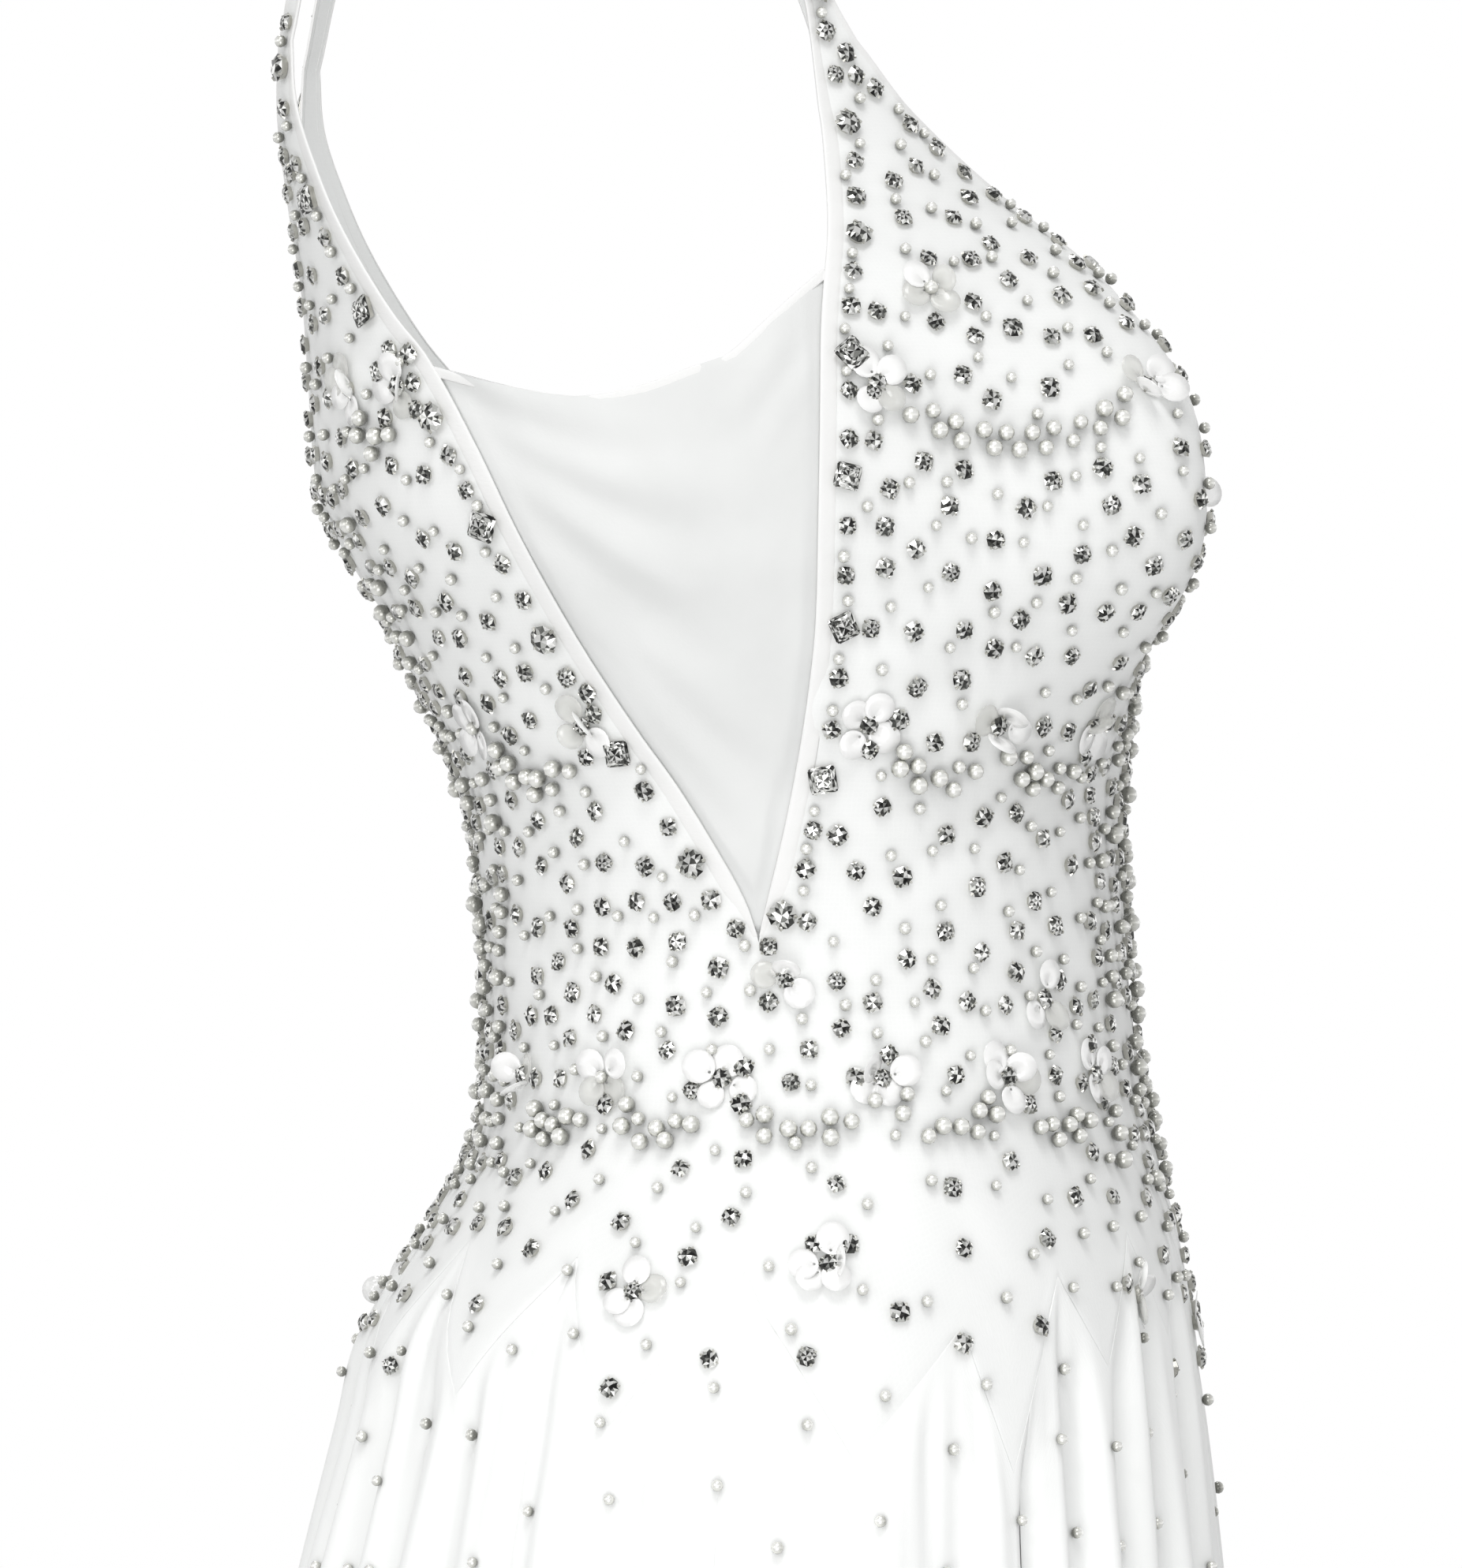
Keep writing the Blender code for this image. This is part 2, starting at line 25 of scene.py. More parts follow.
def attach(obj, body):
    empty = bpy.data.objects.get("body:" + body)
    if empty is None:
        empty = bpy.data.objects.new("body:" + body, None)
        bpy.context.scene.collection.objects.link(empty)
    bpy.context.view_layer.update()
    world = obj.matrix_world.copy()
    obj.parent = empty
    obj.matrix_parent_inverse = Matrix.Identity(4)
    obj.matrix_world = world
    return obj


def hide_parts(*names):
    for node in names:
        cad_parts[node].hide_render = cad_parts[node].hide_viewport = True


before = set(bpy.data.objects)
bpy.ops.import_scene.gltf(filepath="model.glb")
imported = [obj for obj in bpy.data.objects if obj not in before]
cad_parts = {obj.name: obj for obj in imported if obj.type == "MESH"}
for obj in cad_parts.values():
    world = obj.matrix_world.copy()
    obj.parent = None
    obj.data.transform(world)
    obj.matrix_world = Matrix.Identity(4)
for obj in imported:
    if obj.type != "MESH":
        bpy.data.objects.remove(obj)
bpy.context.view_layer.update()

MM = 0.001
BODY = "root"
LOG = logging.getLogger("gown")
LEAST_CUT = 0.0101


class Side(Enum):
    """The wearer's side that a piece is on, with the sign that turns the right side's Y into its own."""

    RIGHT = 1
    LEFT = -1

    @property
    def word(self) -> str:
        """The side's name in a node's name."""
        return self.name.lower()


class Section(NamedTuple):
    """One level section of the gown's outer surface."""

    height: float
    back: float
    side: float
    front: float
    half_front: float
    half_back: float
    round_front: float
    round_back: float
    cup: float


class Edge(NamedTuple):
    """A point of a cut edge: its height and its distance along X or from the centre line."""

    height: float
    reach: float


class StrapRow(NamedTuple):
    """A strap's outer and inner edge at one place, as X, distance from the centre line, and height."""

    outer: tuple[float, float, float]
    inner: tuple[float, float, float]


class HemCorner(NamedTuple):
    """A corner of the beaded panels' pointed lower edge."""

    angle: float
    height: float


class Fold(NamedTuple):
    """A skirt fold's valley, its depth at the hem, and where its crest is on the way to the next valley."""

    valley: float
    depth: float
    crest: float = 0.5


class Crease(NamedTuple):
    """A soft trough in cloth from one place to another, with a low ridge along each side."""

    start: tuple[float, float]
    end: tuple[float, float]
    width: float
    depth: float


SECTIONS = (
    Section(-95, -92, 38, 141, 99, 128, 2.3, 3.2, 0),
    Section(-120, -92, 44, 148, 104, 133, 2.3, 3.1, 0),
    Section(-150, -87, 50, 160, 116, 138, 2.3, 3.0, 8),
    Section(-180, -81, 56, 170, 134, 143, 2.3, 2.9, 30),
    Section(-212, -78, 62, 177, 148, 148, 2.3, 2.7, 47),
    Section(-247, -74, 68, 180, 151, 151, 2.3, 2.6, 52),
    Section(-269, -63, 70, 183, 150, 150, 2.3, 2.5, 46),
    Section(-285, -53, 72, 187, 147, 147, 2.3, 2.5, 33),
    Section(-300, -46, 74, 191, 145, 145, 2.3, 2.4, 18),
    Section(-318, -37, 77, 194, 141, 141, 2.3, 2.4, 6),
    Section(-348, -25, 82, 192, 135, 135, 2.3, 2.4, 0),
    Section(-390, -20, 86, 193.5, 132, 132, 2.3, 2.3, 0),
    Section(-427, -19.5, 87, 197, 137, 137, 2.3, 2.3, 0),
    Section(-458, -22.4, 86, 202.5, 146, 146, 2.2, 2.2, 0),
    Section(-490, -40, 84, 211, 157, 157, 2.2, 2.2, 0),
    Section(-521, -60, 80, 216.5, 167, 167, 2.2, 2.2, 0),
    Section(-553, -68.5, 78, 221, 175, 175, 2.2, 2.2, 0),
    Section(-602, -82, 76, 226.5, 186, 186, 2.2, 2.2, 0),
    Section(-720, -113, 71, 240, 211, 211, 2.2, 2.2, 0),
    Section(-900, -164, 56, 262, 251, 251, 2.15, 2.15, 0),
    Section(-1150, -244, 30, 294, 308, 308, 2.1, 2.1, 0),
    Section(-1460, -360, -5, 340, 378, 378, 2.1, 2.1, 0),
)
FRONT_ARMHOLE = (
    Edge(-390, 73.5),
    Edge(-380, 76),
    Edge(-364, 80),
    Edge(-343, 84.5),
    Edge(-316, 89),
    Edge(-290, 92),
    Edge(-250, 93.2),
    Edge(-212, 93.7),
    Edge(-158, 93.7),
    Edge(-130, 93.4),
    Edge(-119, 92.4),
    Edge(-98, 90),
)
BACK_ARMHOLE = (
    Edge(-390, 73),
    Edge(-379, 69),
    Edge(-362, 59.5),
    Edge(-342, 47),
    Edge(-325, 34.7),
    Edge(-303, 20),
    Edge(-283, 8),
    Edge(-260, -4.5),
    Edge(-232, -18),
    Edge(-203, -34),
    Edge(-190, -44.5),
    Edge(-174, -55),
    Edge(-158, -64),
    Edge(-142, -71),
    Edge(-119, -78.5),
    Edge(-98, -80),
)
NECK_FRONT = (
    Edge(-262, 0),
    Edge(-240, 14),
    Edge(-212, 31),
    Edge(-180, 49),
    Edge(-150, 64),
    Edge(-120, 76),
    Edge(-98, 82),
)
NECK_BACK = (
    Edge(-285, 0),
    Edge(-240, 27),
    Edge(-200, 46),
    Edge(-160, 61),
    Edge(-120, 71),
    Edge(-98, 73.5),
)
INSET_TOP = (
    Edge(0.0, -172),
    Edge(0.17, -192),
    Edge(0.33, -208),
    Edge(0.46, -214.5),
    Edge(0.6, -216),
    Edge(0.8, -211.5),
    Edge(1.0, -205.5),
)
STRAP_ROWS = (
    StrapRow((87, 90, -82), (96.5, 84, -83)),
    StrapRow((77, 92, -59), (85, 84.5, -56)),
    StrapRow((58, 94, -34), (63, 84.5, -29)),
    StrapRow((33, 95, -13), (35, 84, -7)),
    StrapRow((3, 95.5, -4.5), (3, 84, 0)),
    StrapRow((-28, 95, -13), (-29, 83, -8)),
    StrapRow((-54, 93, -34), (-57, 81, -30)),
    StrapRow((-71, 90, -60), (-76, 77.5, -58)),
)
HEM_CORNERS = (
    HemCorner(0, -532),
    HemCorner(13.5, -486),
    HemCorner(23, -522),
    HemCorner(32, -488),
    HemCorner(41, -530),
    HemCorner(50, -500),
    HemCorner(59.5, -562),
    HemCorner(66.5, -515),
    HemCorner(81, -557),
    HemCorner(95, -496.5),
    HemCorner(109, -547),
    HemCorner(121, -494),
    HemCorner(134, -539),
    HemCorner(147, -490),
    HemCorner(158, -534),
    HemCorner(169, -488),
    HemCorner(180, -524),
)
FOLDS = (
    Fold(0, 34),
    Fold(9.5, 30),
    Fold(19, 36),
    Fold(28.5, 32),
    Fold(38, 38),
    Fold(47, 34),
    Fold(56.5, 40, 0.25),
    Fold(68, 26),
    Fold(81.5, 24),
    Fold(95, 26),
    Fold(108, 28),
    Fold(121, 32),
    Fold(132, 36),
    Fold(142, 38),
    Fold(152, 40, 0.7),
    Fold(161.5, 38),
    Fold(171, 36),
    Fold(180, 38),
)
LEFT_VALLEY_SHIFTS = {19: 1.2, 38: -1.0, 68: 1.4, 81.5: -1.2, 108: 1.5, 132: 1.2, 142: -0.8, 161.5: 0.9}


def smooth_between(table: Sequence[Sequence[float]], position: float, key: int = 0) -> list[float]:
    """Reads a row of numbers smoothly from a table.

    Args:
        table: Rows of numbers whose key column rises from row to row.
        position: Where to read, in the key column.
        key: The index of the key column.

    Returns:
        The numbers at that position.
    """
    keys = [row[key] for row in table]
    at = min(max(bisect_right(keys, position) - 1, 0), len(table) - 2)
    span = keys[at + 1] - keys[at]
    share = min(max((position - keys[at]) / span, 0.0), 1.0)

    def slope(index: int, column: int) -> float:
        """The table's slope at a row."""
        low, high = max(index - 1, 0), min(index + 1, len(table) - 1)
        return (table[high][column] - table[low][column]) / (keys[high] - keys[low])

    square, cube = share**2, share**3
    return [
        table[at][c] * (2 * cube - 3 * square + 1)
        + slope(at, c) * span * (cube - 2 * square + share)
        + table[at + 1][c] * (3 * square - 2 * cube)
        + slope(at + 1, c) * span * (cube - square)
        for c in range(len(table[0]))
    ]


def between(start: float, end: float, share: float) -> float:
    """The number a share of the way from start to end."""
    return start + (end - start) * share


def eased(share: float) -> float:
    """A share from 0 to 1 that starts and ends gently."""
    held = min(max(share, 0.0), 1.0)
    return held * held * (3 - 2 * held)


@dataclass(frozen=True)
class GownForm:
    """The outer surface that every piece is laid on, by angle round the figure and height below the straps.

    An angle of 0 is the centre front, 90 near the side and 180 the centre back. It is negative on the left.
    """

    side_seam: float = 95.0
    inset_tip: float = -390.0
    strap_root: float = -98.0
    neck_front_bottom: float = -262.0
    neck_back_bottom: float = -285.0
    flat_end: float = -462.0
    hem: float = -1460.0
    fold_growth: float = 0.8
    cup_height: float = -247.0
    cup_centre: float = 80.0
    cup_lean: float = 0.17
    cup_to_centre_front: float = 76.0
    cup_to_side: float = 68.0
    cup_forward: float = 0.95
    cup_sideways: float = 0.4

    @lru_cache(maxsize=None)
    def _level(self, whole: int) -> tuple[float, ...]:
        """The smooth section at a whole number of millimetres."""
        return tuple(smooth_between(SECTIONS[::-1], float(whole)))

    def section(self, height: float) -> Section:
        """The gown's level section at a height."""
        low = math.floor(height)
        share = height - low
        return Section(*(a + (b - a) * share for a, b in zip(self._level(low), self._level(low + 1))))

    def hem_height(self, angle: float) -> float:
        """The height of the pointed lower edge of the beaded panels."""
        corners = [corner.angle for corner in HEM_CORNERS]
        at = min(max(bisect_right(corners, abs(angle)) - 1, 0), len(corners) - 2)
        start, end = HEM_CORNERS[at], HEM_CORNERS[at + 1]
        return between(start.height, end.height, (abs(angle) - start.angle) / (end.angle - start.angle))

    @lru_cache(maxsize=None)
    def folds(self, right: bool) -> tuple[Fold, ...]:
        """The skirt's folds on one side."""
        if right:
            return FOLDS
        shifts = LEFT_VALLEY_SHIFTS
        return tuple(fold._replace(valley=fold.valley + shifts.get(fold.valley, 0.0)) for fold in FOLDS)

    def fold(self, angle: float) -> tuple[float, float]:
        """The depth at the hem of the fold at an angle, and how far it is from crest, 0, to valley, 1."""
        folds = self.folds(angle >= 0)
        valleys = [fold.valley for fold in folds]
        at = min(max(bisect_right(valleys, abs(angle)) - 1, 0), len(valleys) - 2)
        fold, after = folds[at], folds[at + 1]
        share = (abs(angle) - fold.valley) / (after.valley - fold.valley)
        if share < fold.crest:
            depth, from_crest = fold.depth, 1 - share / fold.crest
        else:
            depth, from_crest = after.depth, (share - fold.crest) / (1 - fold.crest)
        return depth, 0.5 - 0.5 * math.cos(math.pi * from_crest)

    def fold_offset(self, angle: float, height: float) -> float:
        """How far the skirt lies inside its crests."""
        start = self.hem_height(angle)
        if height >= start:
            return 0.0
        depth, inside = self.fold(angle)
        return -depth * inside * ((start - height) / (start - self.hem)) ** self.fold_growth

    def _cup(self, reach: float, section: Section) -> float:
        """How far a bust cup stands out at a distance from the centre line."""
        centre = self.cup_centre + self.cup_lean * min(self.cup_height - section.height, 0.0)
        aside = reach - centre
        most = self.cup_to_side if aside > 0 else self.cup_to_centre_front
        if abs(aside) >= most:
            return 0.0
        return section.cup * math.cos(math.pi / 2 * aside / most) ** 2

    def _outline(self, section: Section, angle: float) -> tuple[float, float]:
        """X and Y of a section at an angle between -180 and 180."""
        turn = math.radians(abs(angle))
        along, across = math.cos(turn), abs(math.sin(turn))
        ahead = along >= 0
        power = 2 / (section.round_front if ahead else section.round_back)
        depth = section.front - section.side if ahead else section.side - section.back
        half = section.half_front if ahead else section.half_back
        x = section.side + math.copysign(depth * abs(along) ** power, along)
        reach = half * across**power
        if ahead and section.cup > 0:
            lift = self._cup(reach, section)
            x += self.cup_forward * lift
            reach += self.cup_sideways * lift
        return x, -math.copysign(reach, angle) if angle else -reach

    def point(self, angle: float, height: float, folded: bool = True) -> Vector:
        """A point of the outer surface in millimetres."""
        angle = (angle + 180) % 360 - 180 if abs(angle) > 180 else angle
        section = self.section(height)
        x, y = self._outline(section, angle)
        inward = self.fold_offset(angle, height) if folded else 0.0
        if inward:
            step = 0.5
            ahead = self._outline(section, angle + step)
            behind = self._outline(section, angle - step)
            along = Vector((ahead[0] - behind[0], ahead[1] - behind[1], 0.0)).normalized()
            x += -along.y * inward
            y += along.x * inward
        return Vector((x, y, height))

    def normal(self, angle: float, height: float) -> Vector:
        """The outward normal of the outer surface."""
        across = self.point(angle + 0.4, height) - self.point(angle - 0.4, height)
        up = self.point(angle, height + 1.0) - self.point(angle, height - 1.0)
        return up.cross(across).normalized()

    def moved(self, angle: float, height: float, along: float) -> float:
        """The angle moved by a length round the section."""
        chord = (self.point(angle + 0.5, height, False) - self.point(angle - 0.5, height, False)).length
        return angle + along / max(chord, 0.5)

    def _angle_at_reach(self, reach: float, height: float, ahead: bool) -> float:
        """The angle where the section is that far from the centre line."""
        section = self.section(height)
        half = section.half_front if ahead else section.half_back
        power = (section.round_front if ahead else section.round_back) / 2
        turn = math.degrees(math.asin(min((reach / half) ** power, 1.0)))
        return turn if ahead else 180 - turn

    def _plain_angle_at_x(self, x: float, height: float) -> float:
        """The angle where the section with no cup reaches x, as the armhole edges are cut."""
        section = self.section(height)
        ahead = x >= section.side
        depth = section.front - section.side if ahead else section.side - section.back
        power = (section.round_front if ahead else section.round_back) / 2
        turn = math.degrees(math.acos(min(abs(x - section.side) / depth, 1.0) ** power))
        return turn if ahead else 180 - turn

    @lru_cache(maxsize=None)
    def armhole(self, ahead: bool, height: float) -> float:
        """The angle of the front or back panel's armhole edge."""
        if height <= self.inset_tip:
            return self.side_seam
        reach = smooth_between(FRONT_ARMHOLE if ahead else BACK_ARMHOLE, height)[1]
        angle = self._plain_angle_at_x(reach, height)
        return min(angle, self.side_seam) if ahead else max(angle, self.side_seam)

    @lru_cache(maxsize=None)
    def neck(self, ahead: bool, height: float) -> float:
        """The angle of the front or back neckline, or of the centre below it."""
        if height <= (self.neck_front_bottom if ahead else self.neck_back_bottom):
            return 0.0 if ahead else 180.0
        reach = smooth_between(NECK_FRONT if ahead else NECK_BACK, height)[1]
        return self._angle_at_reach(max(reach, 0.0), height, ahead)

    def _root(self, ahead: bool) -> StrapRow:
        """Where the strap leaves a panel."""
        angles = self.armhole(ahead, self.strap_root), self.neck(ahead, self.strap_root)
        points = [self.point(angle, self.strap_root) for angle in angles]
        return StrapRow(*[(point.x, -point.y, point.z) for point in points])

    @lru_cache(maxsize=None)
    def _strap_table(self) -> tuple[tuple[float, ...], ...]:
        """The strap's rows from the front root to the back root, numbered."""
        rows = [self._root(True), *STRAP_ROWS, self._root(False)]
        return tuple((float(index), *row.outer, *row.inner) for index, row in enumerate(rows))

    def strap(self, position: float) -> tuple[Vector, Vector]:
        """The right strap's outer and inner edge at a position counted in rows from the front root."""
        found = smooth_between(self._strap_table(), position)
        return Vector((found[1], -found[2], found[3])), Vector((found[4], -found[5], found[6]))


FORM = GownForm()
ARMHOLE_BAND, STRAP_BAND, NECK_BAND, INSET_BAND = 5.2, 2.8, 2.4, 2.8
STRAP_SEAM = 5.0
STRAP_END = 9.0
FRONT_SEAM = 56.5
BACK_SEAM = 121.0


# Colours, and the small functions that add nodes

# The two colours that a Mix node set to RGBA takes, and the one that it gives
MIX_A, MIX_B, MIX_RESULT = 6, 7, 2


def linear(hex_code: str) -> tuple[float, float, float, float]:
    """The linear colour of an sRGB hex value such as #F4F4F2."""
    values = [int(hex_code[i : i + 2], 16) / 255 for i in (1, 3, 5)]
    return (*(v / 12.92 if v <= 0.04045 else ((v + 0.055) / 1.055) ** 2.4 for v in values), 1.0)


def set_inputs(node: bpy.types.Node, values: Mapping[str, Any]) -> None:
    """Sets a node's inputs by their names."""
    for key, value in values.items():
        node.inputs[key].default_value = value


def add_node(
    tree: bpy.types.NodeTree,
    kind: str,
    settings: Mapping[str, Any] | None = None,
    links: Mapping[str, tuple[bpy.types.Node, str]] | None = None,
) -> bpy.types.Node:
    """Adds a node with its settings and links.

    Args:
        tree: The node tree that gets it.
        kind: The node's type.
        settings: Values by the name of an input or a property.
        links: The node and output that feed each named input.

    Returns:
        The new node.
    """
    node = tree.nodes.new(kind)
    for key, value in (settings or {}).items():
        if key in node.inputs:
            node.inputs[key].default_value = value
        else:
            setattr(node, key, value)
    for key, (source, output) in (links or {}).items():
        tree.links.new(source.outputs[output], node.inputs[key])
    return node


def add_bump(
    tree: bpy.types.NodeTree, shader: bpy.types.Node, source: bpy.types.Node, strength: float, depth_mm: float
) -> None:
    """Bumps a shader by a noise.

    Args:
        tree: The node tree.
        shader: The shader that gets the bump.
        source: The noise that gives the height.
        strength: How strongly it shows.
        depth_mm: How deep it is.
    """
    settings = {"Strength": strength, "Distance": depth_mm * MM}
    bump = add_node(tree, "ShaderNodeBump", settings, {"Height": (source, "Fac")})
    tree.links.new(bump.outputs["Normal"], shader.inputs["Normal"])


class Finish:
    """A surface finish that gives its material once."""

    name: str

    def shade(self, tree: bpy.types.NodeTree, shader: bpy.types.Node) -> None:
        """Sets the shader's sockets and adds the nodes that feed it."""
        raise NotImplementedError

    def material(self) -> bpy.types.Material:
        """The finish's material, made at its first use."""
        found = bpy.data.materials.get(self.name)
        if found is None:
            found = bpy.data.materials.new(self.name)
            found.use_nodes = True
            self.shade(found.node_tree, found.node_tree.nodes["Principled BSDF"])
        return found


@dataclass(frozen=True)
class ClothFinish(Finish):
    """Fine white cloth: its thread gives a faint grain, and slight unevenness a soft cloudy tone.

    The real threads are finer than the render shows, so grain_mm is drawn as coarse as it needs to show.
    """

    name: str
    light: str
    dark: str
    roughness: float
    sheen: float
    grain_mm: float
    grain_depth_mm: float
    cloud_mm: float = 45.0
    net_mm: float = 0.0

    def shade(self, tree: bpy.types.NodeTree, shader: bpy.types.Node) -> None:
        """Cloudy tone in the colour, and the thread's grain and any net in the bump."""
        set_inputs(shader, {"Roughness": self.roughness, "IOR": 1.46})
        set_inputs(shader, {"Sheen Weight": self.sheen, "Sheen Roughness": 0.4})
        uv = {"Vector": (add_node(tree, "ShaderNodeTexCoord"), "UV")}
        cloud = add_node(tree, "ShaderNodeTexNoise", {"Scale": 1 / (self.cloud_mm * MM), "Detail": 3.0}, uv)
        grain = add_node(tree, "ShaderNodeTexNoise", {"Scale": 1 / (self.grain_mm * MM), "Detail": 2.0}, uv)
        tone = add_node(tree, "ShaderNodeValToRGB", links={"Fac": (cloud, "Fac")})
        dark, light = tone.color_ramp.elements
        dark.position, dark.color = 0.3, linear(self.dark)
        light.position, light.color = 0.7, linear(self.light)
        colour = tone.outputs["Color"]
        if self.net_mm:
            cells = {"feature": "DISTANCE_TO_EDGE", "Scale": 1 / (self.net_mm * MM), "Randomness": 0.35}
            net = add_node(tree, "ShaderNodeTexVoronoi", cells, uv)
            reach = {"From Min": 0.04, "From Max": 0.22, "To Min": 0.0, "To Max": 0.03}
            holes = add_node(tree, "ShaderNodeMapRange", reach, {"Value": (net, "Distance")})
            mixed = add_node(tree, "ShaderNodeMix", {"data_type": "RGBA"}, {"Factor": (holes, "Result")})
            mixed.inputs[MIX_B].default_value = linear("#B9BCBE")
            tree.links.new(colour, mixed.inputs[MIX_A])
            colour = mixed.outputs[MIX_RESULT]
        tree.links.new(colour, shader.inputs["Base Color"])
        add_bump(tree, shader, grain, 0.6, self.grain_depth_mm)


@dataclass(frozen=True)
class SatinFinish(Finish):
    """Bias-cut satin, woven with long floats: a smooth band with a soft streaky gloss along it."""

    name: str
    colour: str
    roughness: float = 0.42

    def shade(self, tree: bpy.types.NodeTree, shader: bpy.types.Node) -> None:
        """A plain colour with fine streaks across the band."""
        colour = linear(self.colour)
        set_inputs(shader, {"Base Color": colour, "Roughness": self.roughness, "Sheen Weight": 0.15})
        place = add_node(tree, "ShaderNodeTexCoord")
        streaks = add_node(
            tree, "ShaderNodeTexNoise", {"Scale": 1 / (1.1 * MM), "Detail": 2.0}, {"Vector": (place, "UV")}
        )
        add_bump(tree, shader, streaks, 0.5, 0.15)


@dataclass(frozen=True)
class FacetFinish(Finish):
    """A facet of foil-backed cut glass whose tone is a painted reflection.

    Each is painted one tone, from near black to near white, for what it would mirror, so that neighbours
    differ.
    """

    name: str
    colour: str

    def shade(self, tree: bpy.types.NodeTree, shader: bpy.types.Node) -> None:
        """A mirror of one painted reflection tone, clouded a little by the foil behind the glass."""
        set_inputs(shader, {"Metallic": 0.8, "Roughness": 0.12, "Coat Weight": 0.5, "Coat Roughness": 0.02})
        place = add_node(tree, "ShaderNodeTexCoord")
        foil = add_node(tree, "ShaderNodeTexNoise", {"Scale": 900.0}, {"Vector": (place, "Object")})
        reach = {"From Min": 0.4, "From Max": 0.9, "To Max": 0.18}
        ease = add_node(tree, "ShaderNodeMapRange", reach, {"Value": (foil, "Fac")})
        tone = add_node(tree, "ShaderNodeMix", {"data_type": "RGBA"}, {"Factor": (ease, "Result")})
        tone.inputs[MIX_A].default_value = linear(self.colour)
        tone.inputs[MIX_B].default_value = linear("#B4B5B0")
        tree.links.new(tone.outputs[MIX_RESULT], shader.inputs["Base Color"])


@dataclass(frozen=True)
class SettingFinish(Finish):
    """Silver-plated brass, stamped and polished: the cups and claws that hold the stones."""

    name: str = "silver_plate"
    colour: str = "#E4E3DD"
    tarnish: str = "#A9A8A1"

    def shade(self, tree: bpy.types.NodeTree, shader: bpy.types.Node) -> None:
        """A bright metal with a faint tarnish in patches."""
        set_inputs(shader, {"Metallic": 1.0, "Roughness": 0.22})
        place = add_node(tree, "ShaderNodeTexCoord")
        patches = add_node(tree, "ShaderNodeTexNoise", {"Scale": 400.0}, {"Vector": (place, "Object")})
        tone = add_node(tree, "ShaderNodeValToRGB", links={"Fac": (patches, "Fac")})
        tone.color_ramp.elements[0].color = linear(self.tarnish)
        tone.color_ramp.elements[1].color = linear(self.colour)
        tree.links.new(tone.outputs["Color"], shader.inputs["Base Color"])


@dataclass(frozen=True)
class PearlFinish(Finish):
    """Glass pearl whose colour is painted light: a painted highlight, white on top, and painted shade, darker
    towards the cloth.
    """

    name: str = "glass_pearl_painted_light"
    light: str = "#FFFFFB"
    middle: str = "#DDDDD6"
    dark: str = "#73736C"

    def shade(self, tree: bpy.types.NodeTree, shader: bpy.types.Node) -> None:
        """Painted shade and highlight by height over the cloth, which the pearls carry as an attribute, under
        a deep gloss.
        """
        set_inputs(shader, {"Metallic": 0.5, "Roughness": 0.26, "IOR": 1.53})
        set_inputs(shader, {"Coat Weight": 1.0, "Coat Roughness": 0.1})
        painted_light_height = add_node(tree, "ShaderNodeAttribute", {"attribute_name": "painted_light_height"})
        # The ramp paints shade dark towards the cloth, a darker ring, and a white painted highlight on top.
        tone = add_node(tree, "ShaderNodeValToRGB", links={"Fac": (painted_light_height, "Fac")})
        tone.color_ramp.elements[0].position = 0.34
        tone.color_ramp.elements[0].color = linear(self.dark)
        tone.color_ramp.elements[1].position = 0.9
        tone.color_ramp.elements[1].color = linear(self.light)
        tone.color_ramp.elements.new(0.7).color = linear(self.middle)
        tree.links.new(tone.outputs["Color"], shader.inputs["Base Color"])


@dataclass(frozen=True)
class SequinFinish(Finish):
    """White or clear plastic film, thin and slick, pressed into shallow cups.

    The clear one lets the cloth show.
    """

    name: str = "white_sequin_film"
    colour: str = "#FFFFFE"
    cover: float = 1.0

    def shade(self, tree: bpy.types.NodeTree, shader: bpy.types.Node) -> None:
        """A slick white with a wide clear gloss."""
        set_inputs(shader, {"Base Color": linear(self.colour), "Alpha": self.cover, "Roughness": 0.16})
        set_inputs(shader, {"IOR": 1.6, "Coat Weight": 1.0, "Coat Roughness": 0.05})
        place = add_node(tree, "ShaderNodeTexCoord")
        ripple = add_node(tree, "ShaderNodeTexNoise", {"Scale": 260.0}, {"Vector": (place, "Object")})
        add_bump(tree, shader, ripple, 0.4, 0.3)


TULLE = ClothFinish("beaded_net_over_crepe", "#FBFCFB", "#F5F6F5", 0.62, 0.3, 1.3, 0.06, net_mm=1.6)
CREPE = ClothFinish("plain_satin_backed_crepe", "#E9EAE9", "#E2E3E2", 0.5, 0.25, 1.2, 0.07)
CHIFFON = ClothFinish("white_chiffon", "#FCFDFC", "#F9FAF9", 0.72, 0.3, 1.5, 0.08)
SATIN = SatinFinish("bias_satin_binding", "#F3F3F2")
# Painted reflections: the tones that stand for what each facet of a stone would mirror.
PAINTED_REFLECTION_FACETS = (
    FacetFinish("glass_facet_black", "#0D0D0C"),
    FacetFinish("glass_facet_dark", "#4A4B48"),
    FacetFinish("glass_facet_grey", "#9A9B97"),
    FacetFinish("glass_facet_light", "#DADBD7"),
    FacetFinish("glass_facet_white", "#FFFFFD"),
)
SETTING = SettingFinish()
PEARL = PearlFinish()
SEQUINS = (SequinFinish(), SequinFinish("clear_sequin_film", "#F2F2EE", 0.5))


def meshed(name: str, shape: bmesh.types.BMesh) -> bpy.types.Mesh:
    """Turns a shape into a mesh and frees it."""
    mesh = bpy.data.meshes.new(name)
    shape.to_mesh(mesh)
    shape.free()
    return mesh


def linked(name: str, data: bpy.types.ID) -> bpy.types.Object:
    """A new object in the scene that shows its data."""
    piece = bpy.data.objects.new(name, data)
    bpy.context.scene.collection.objects.link(piece)
    return piece


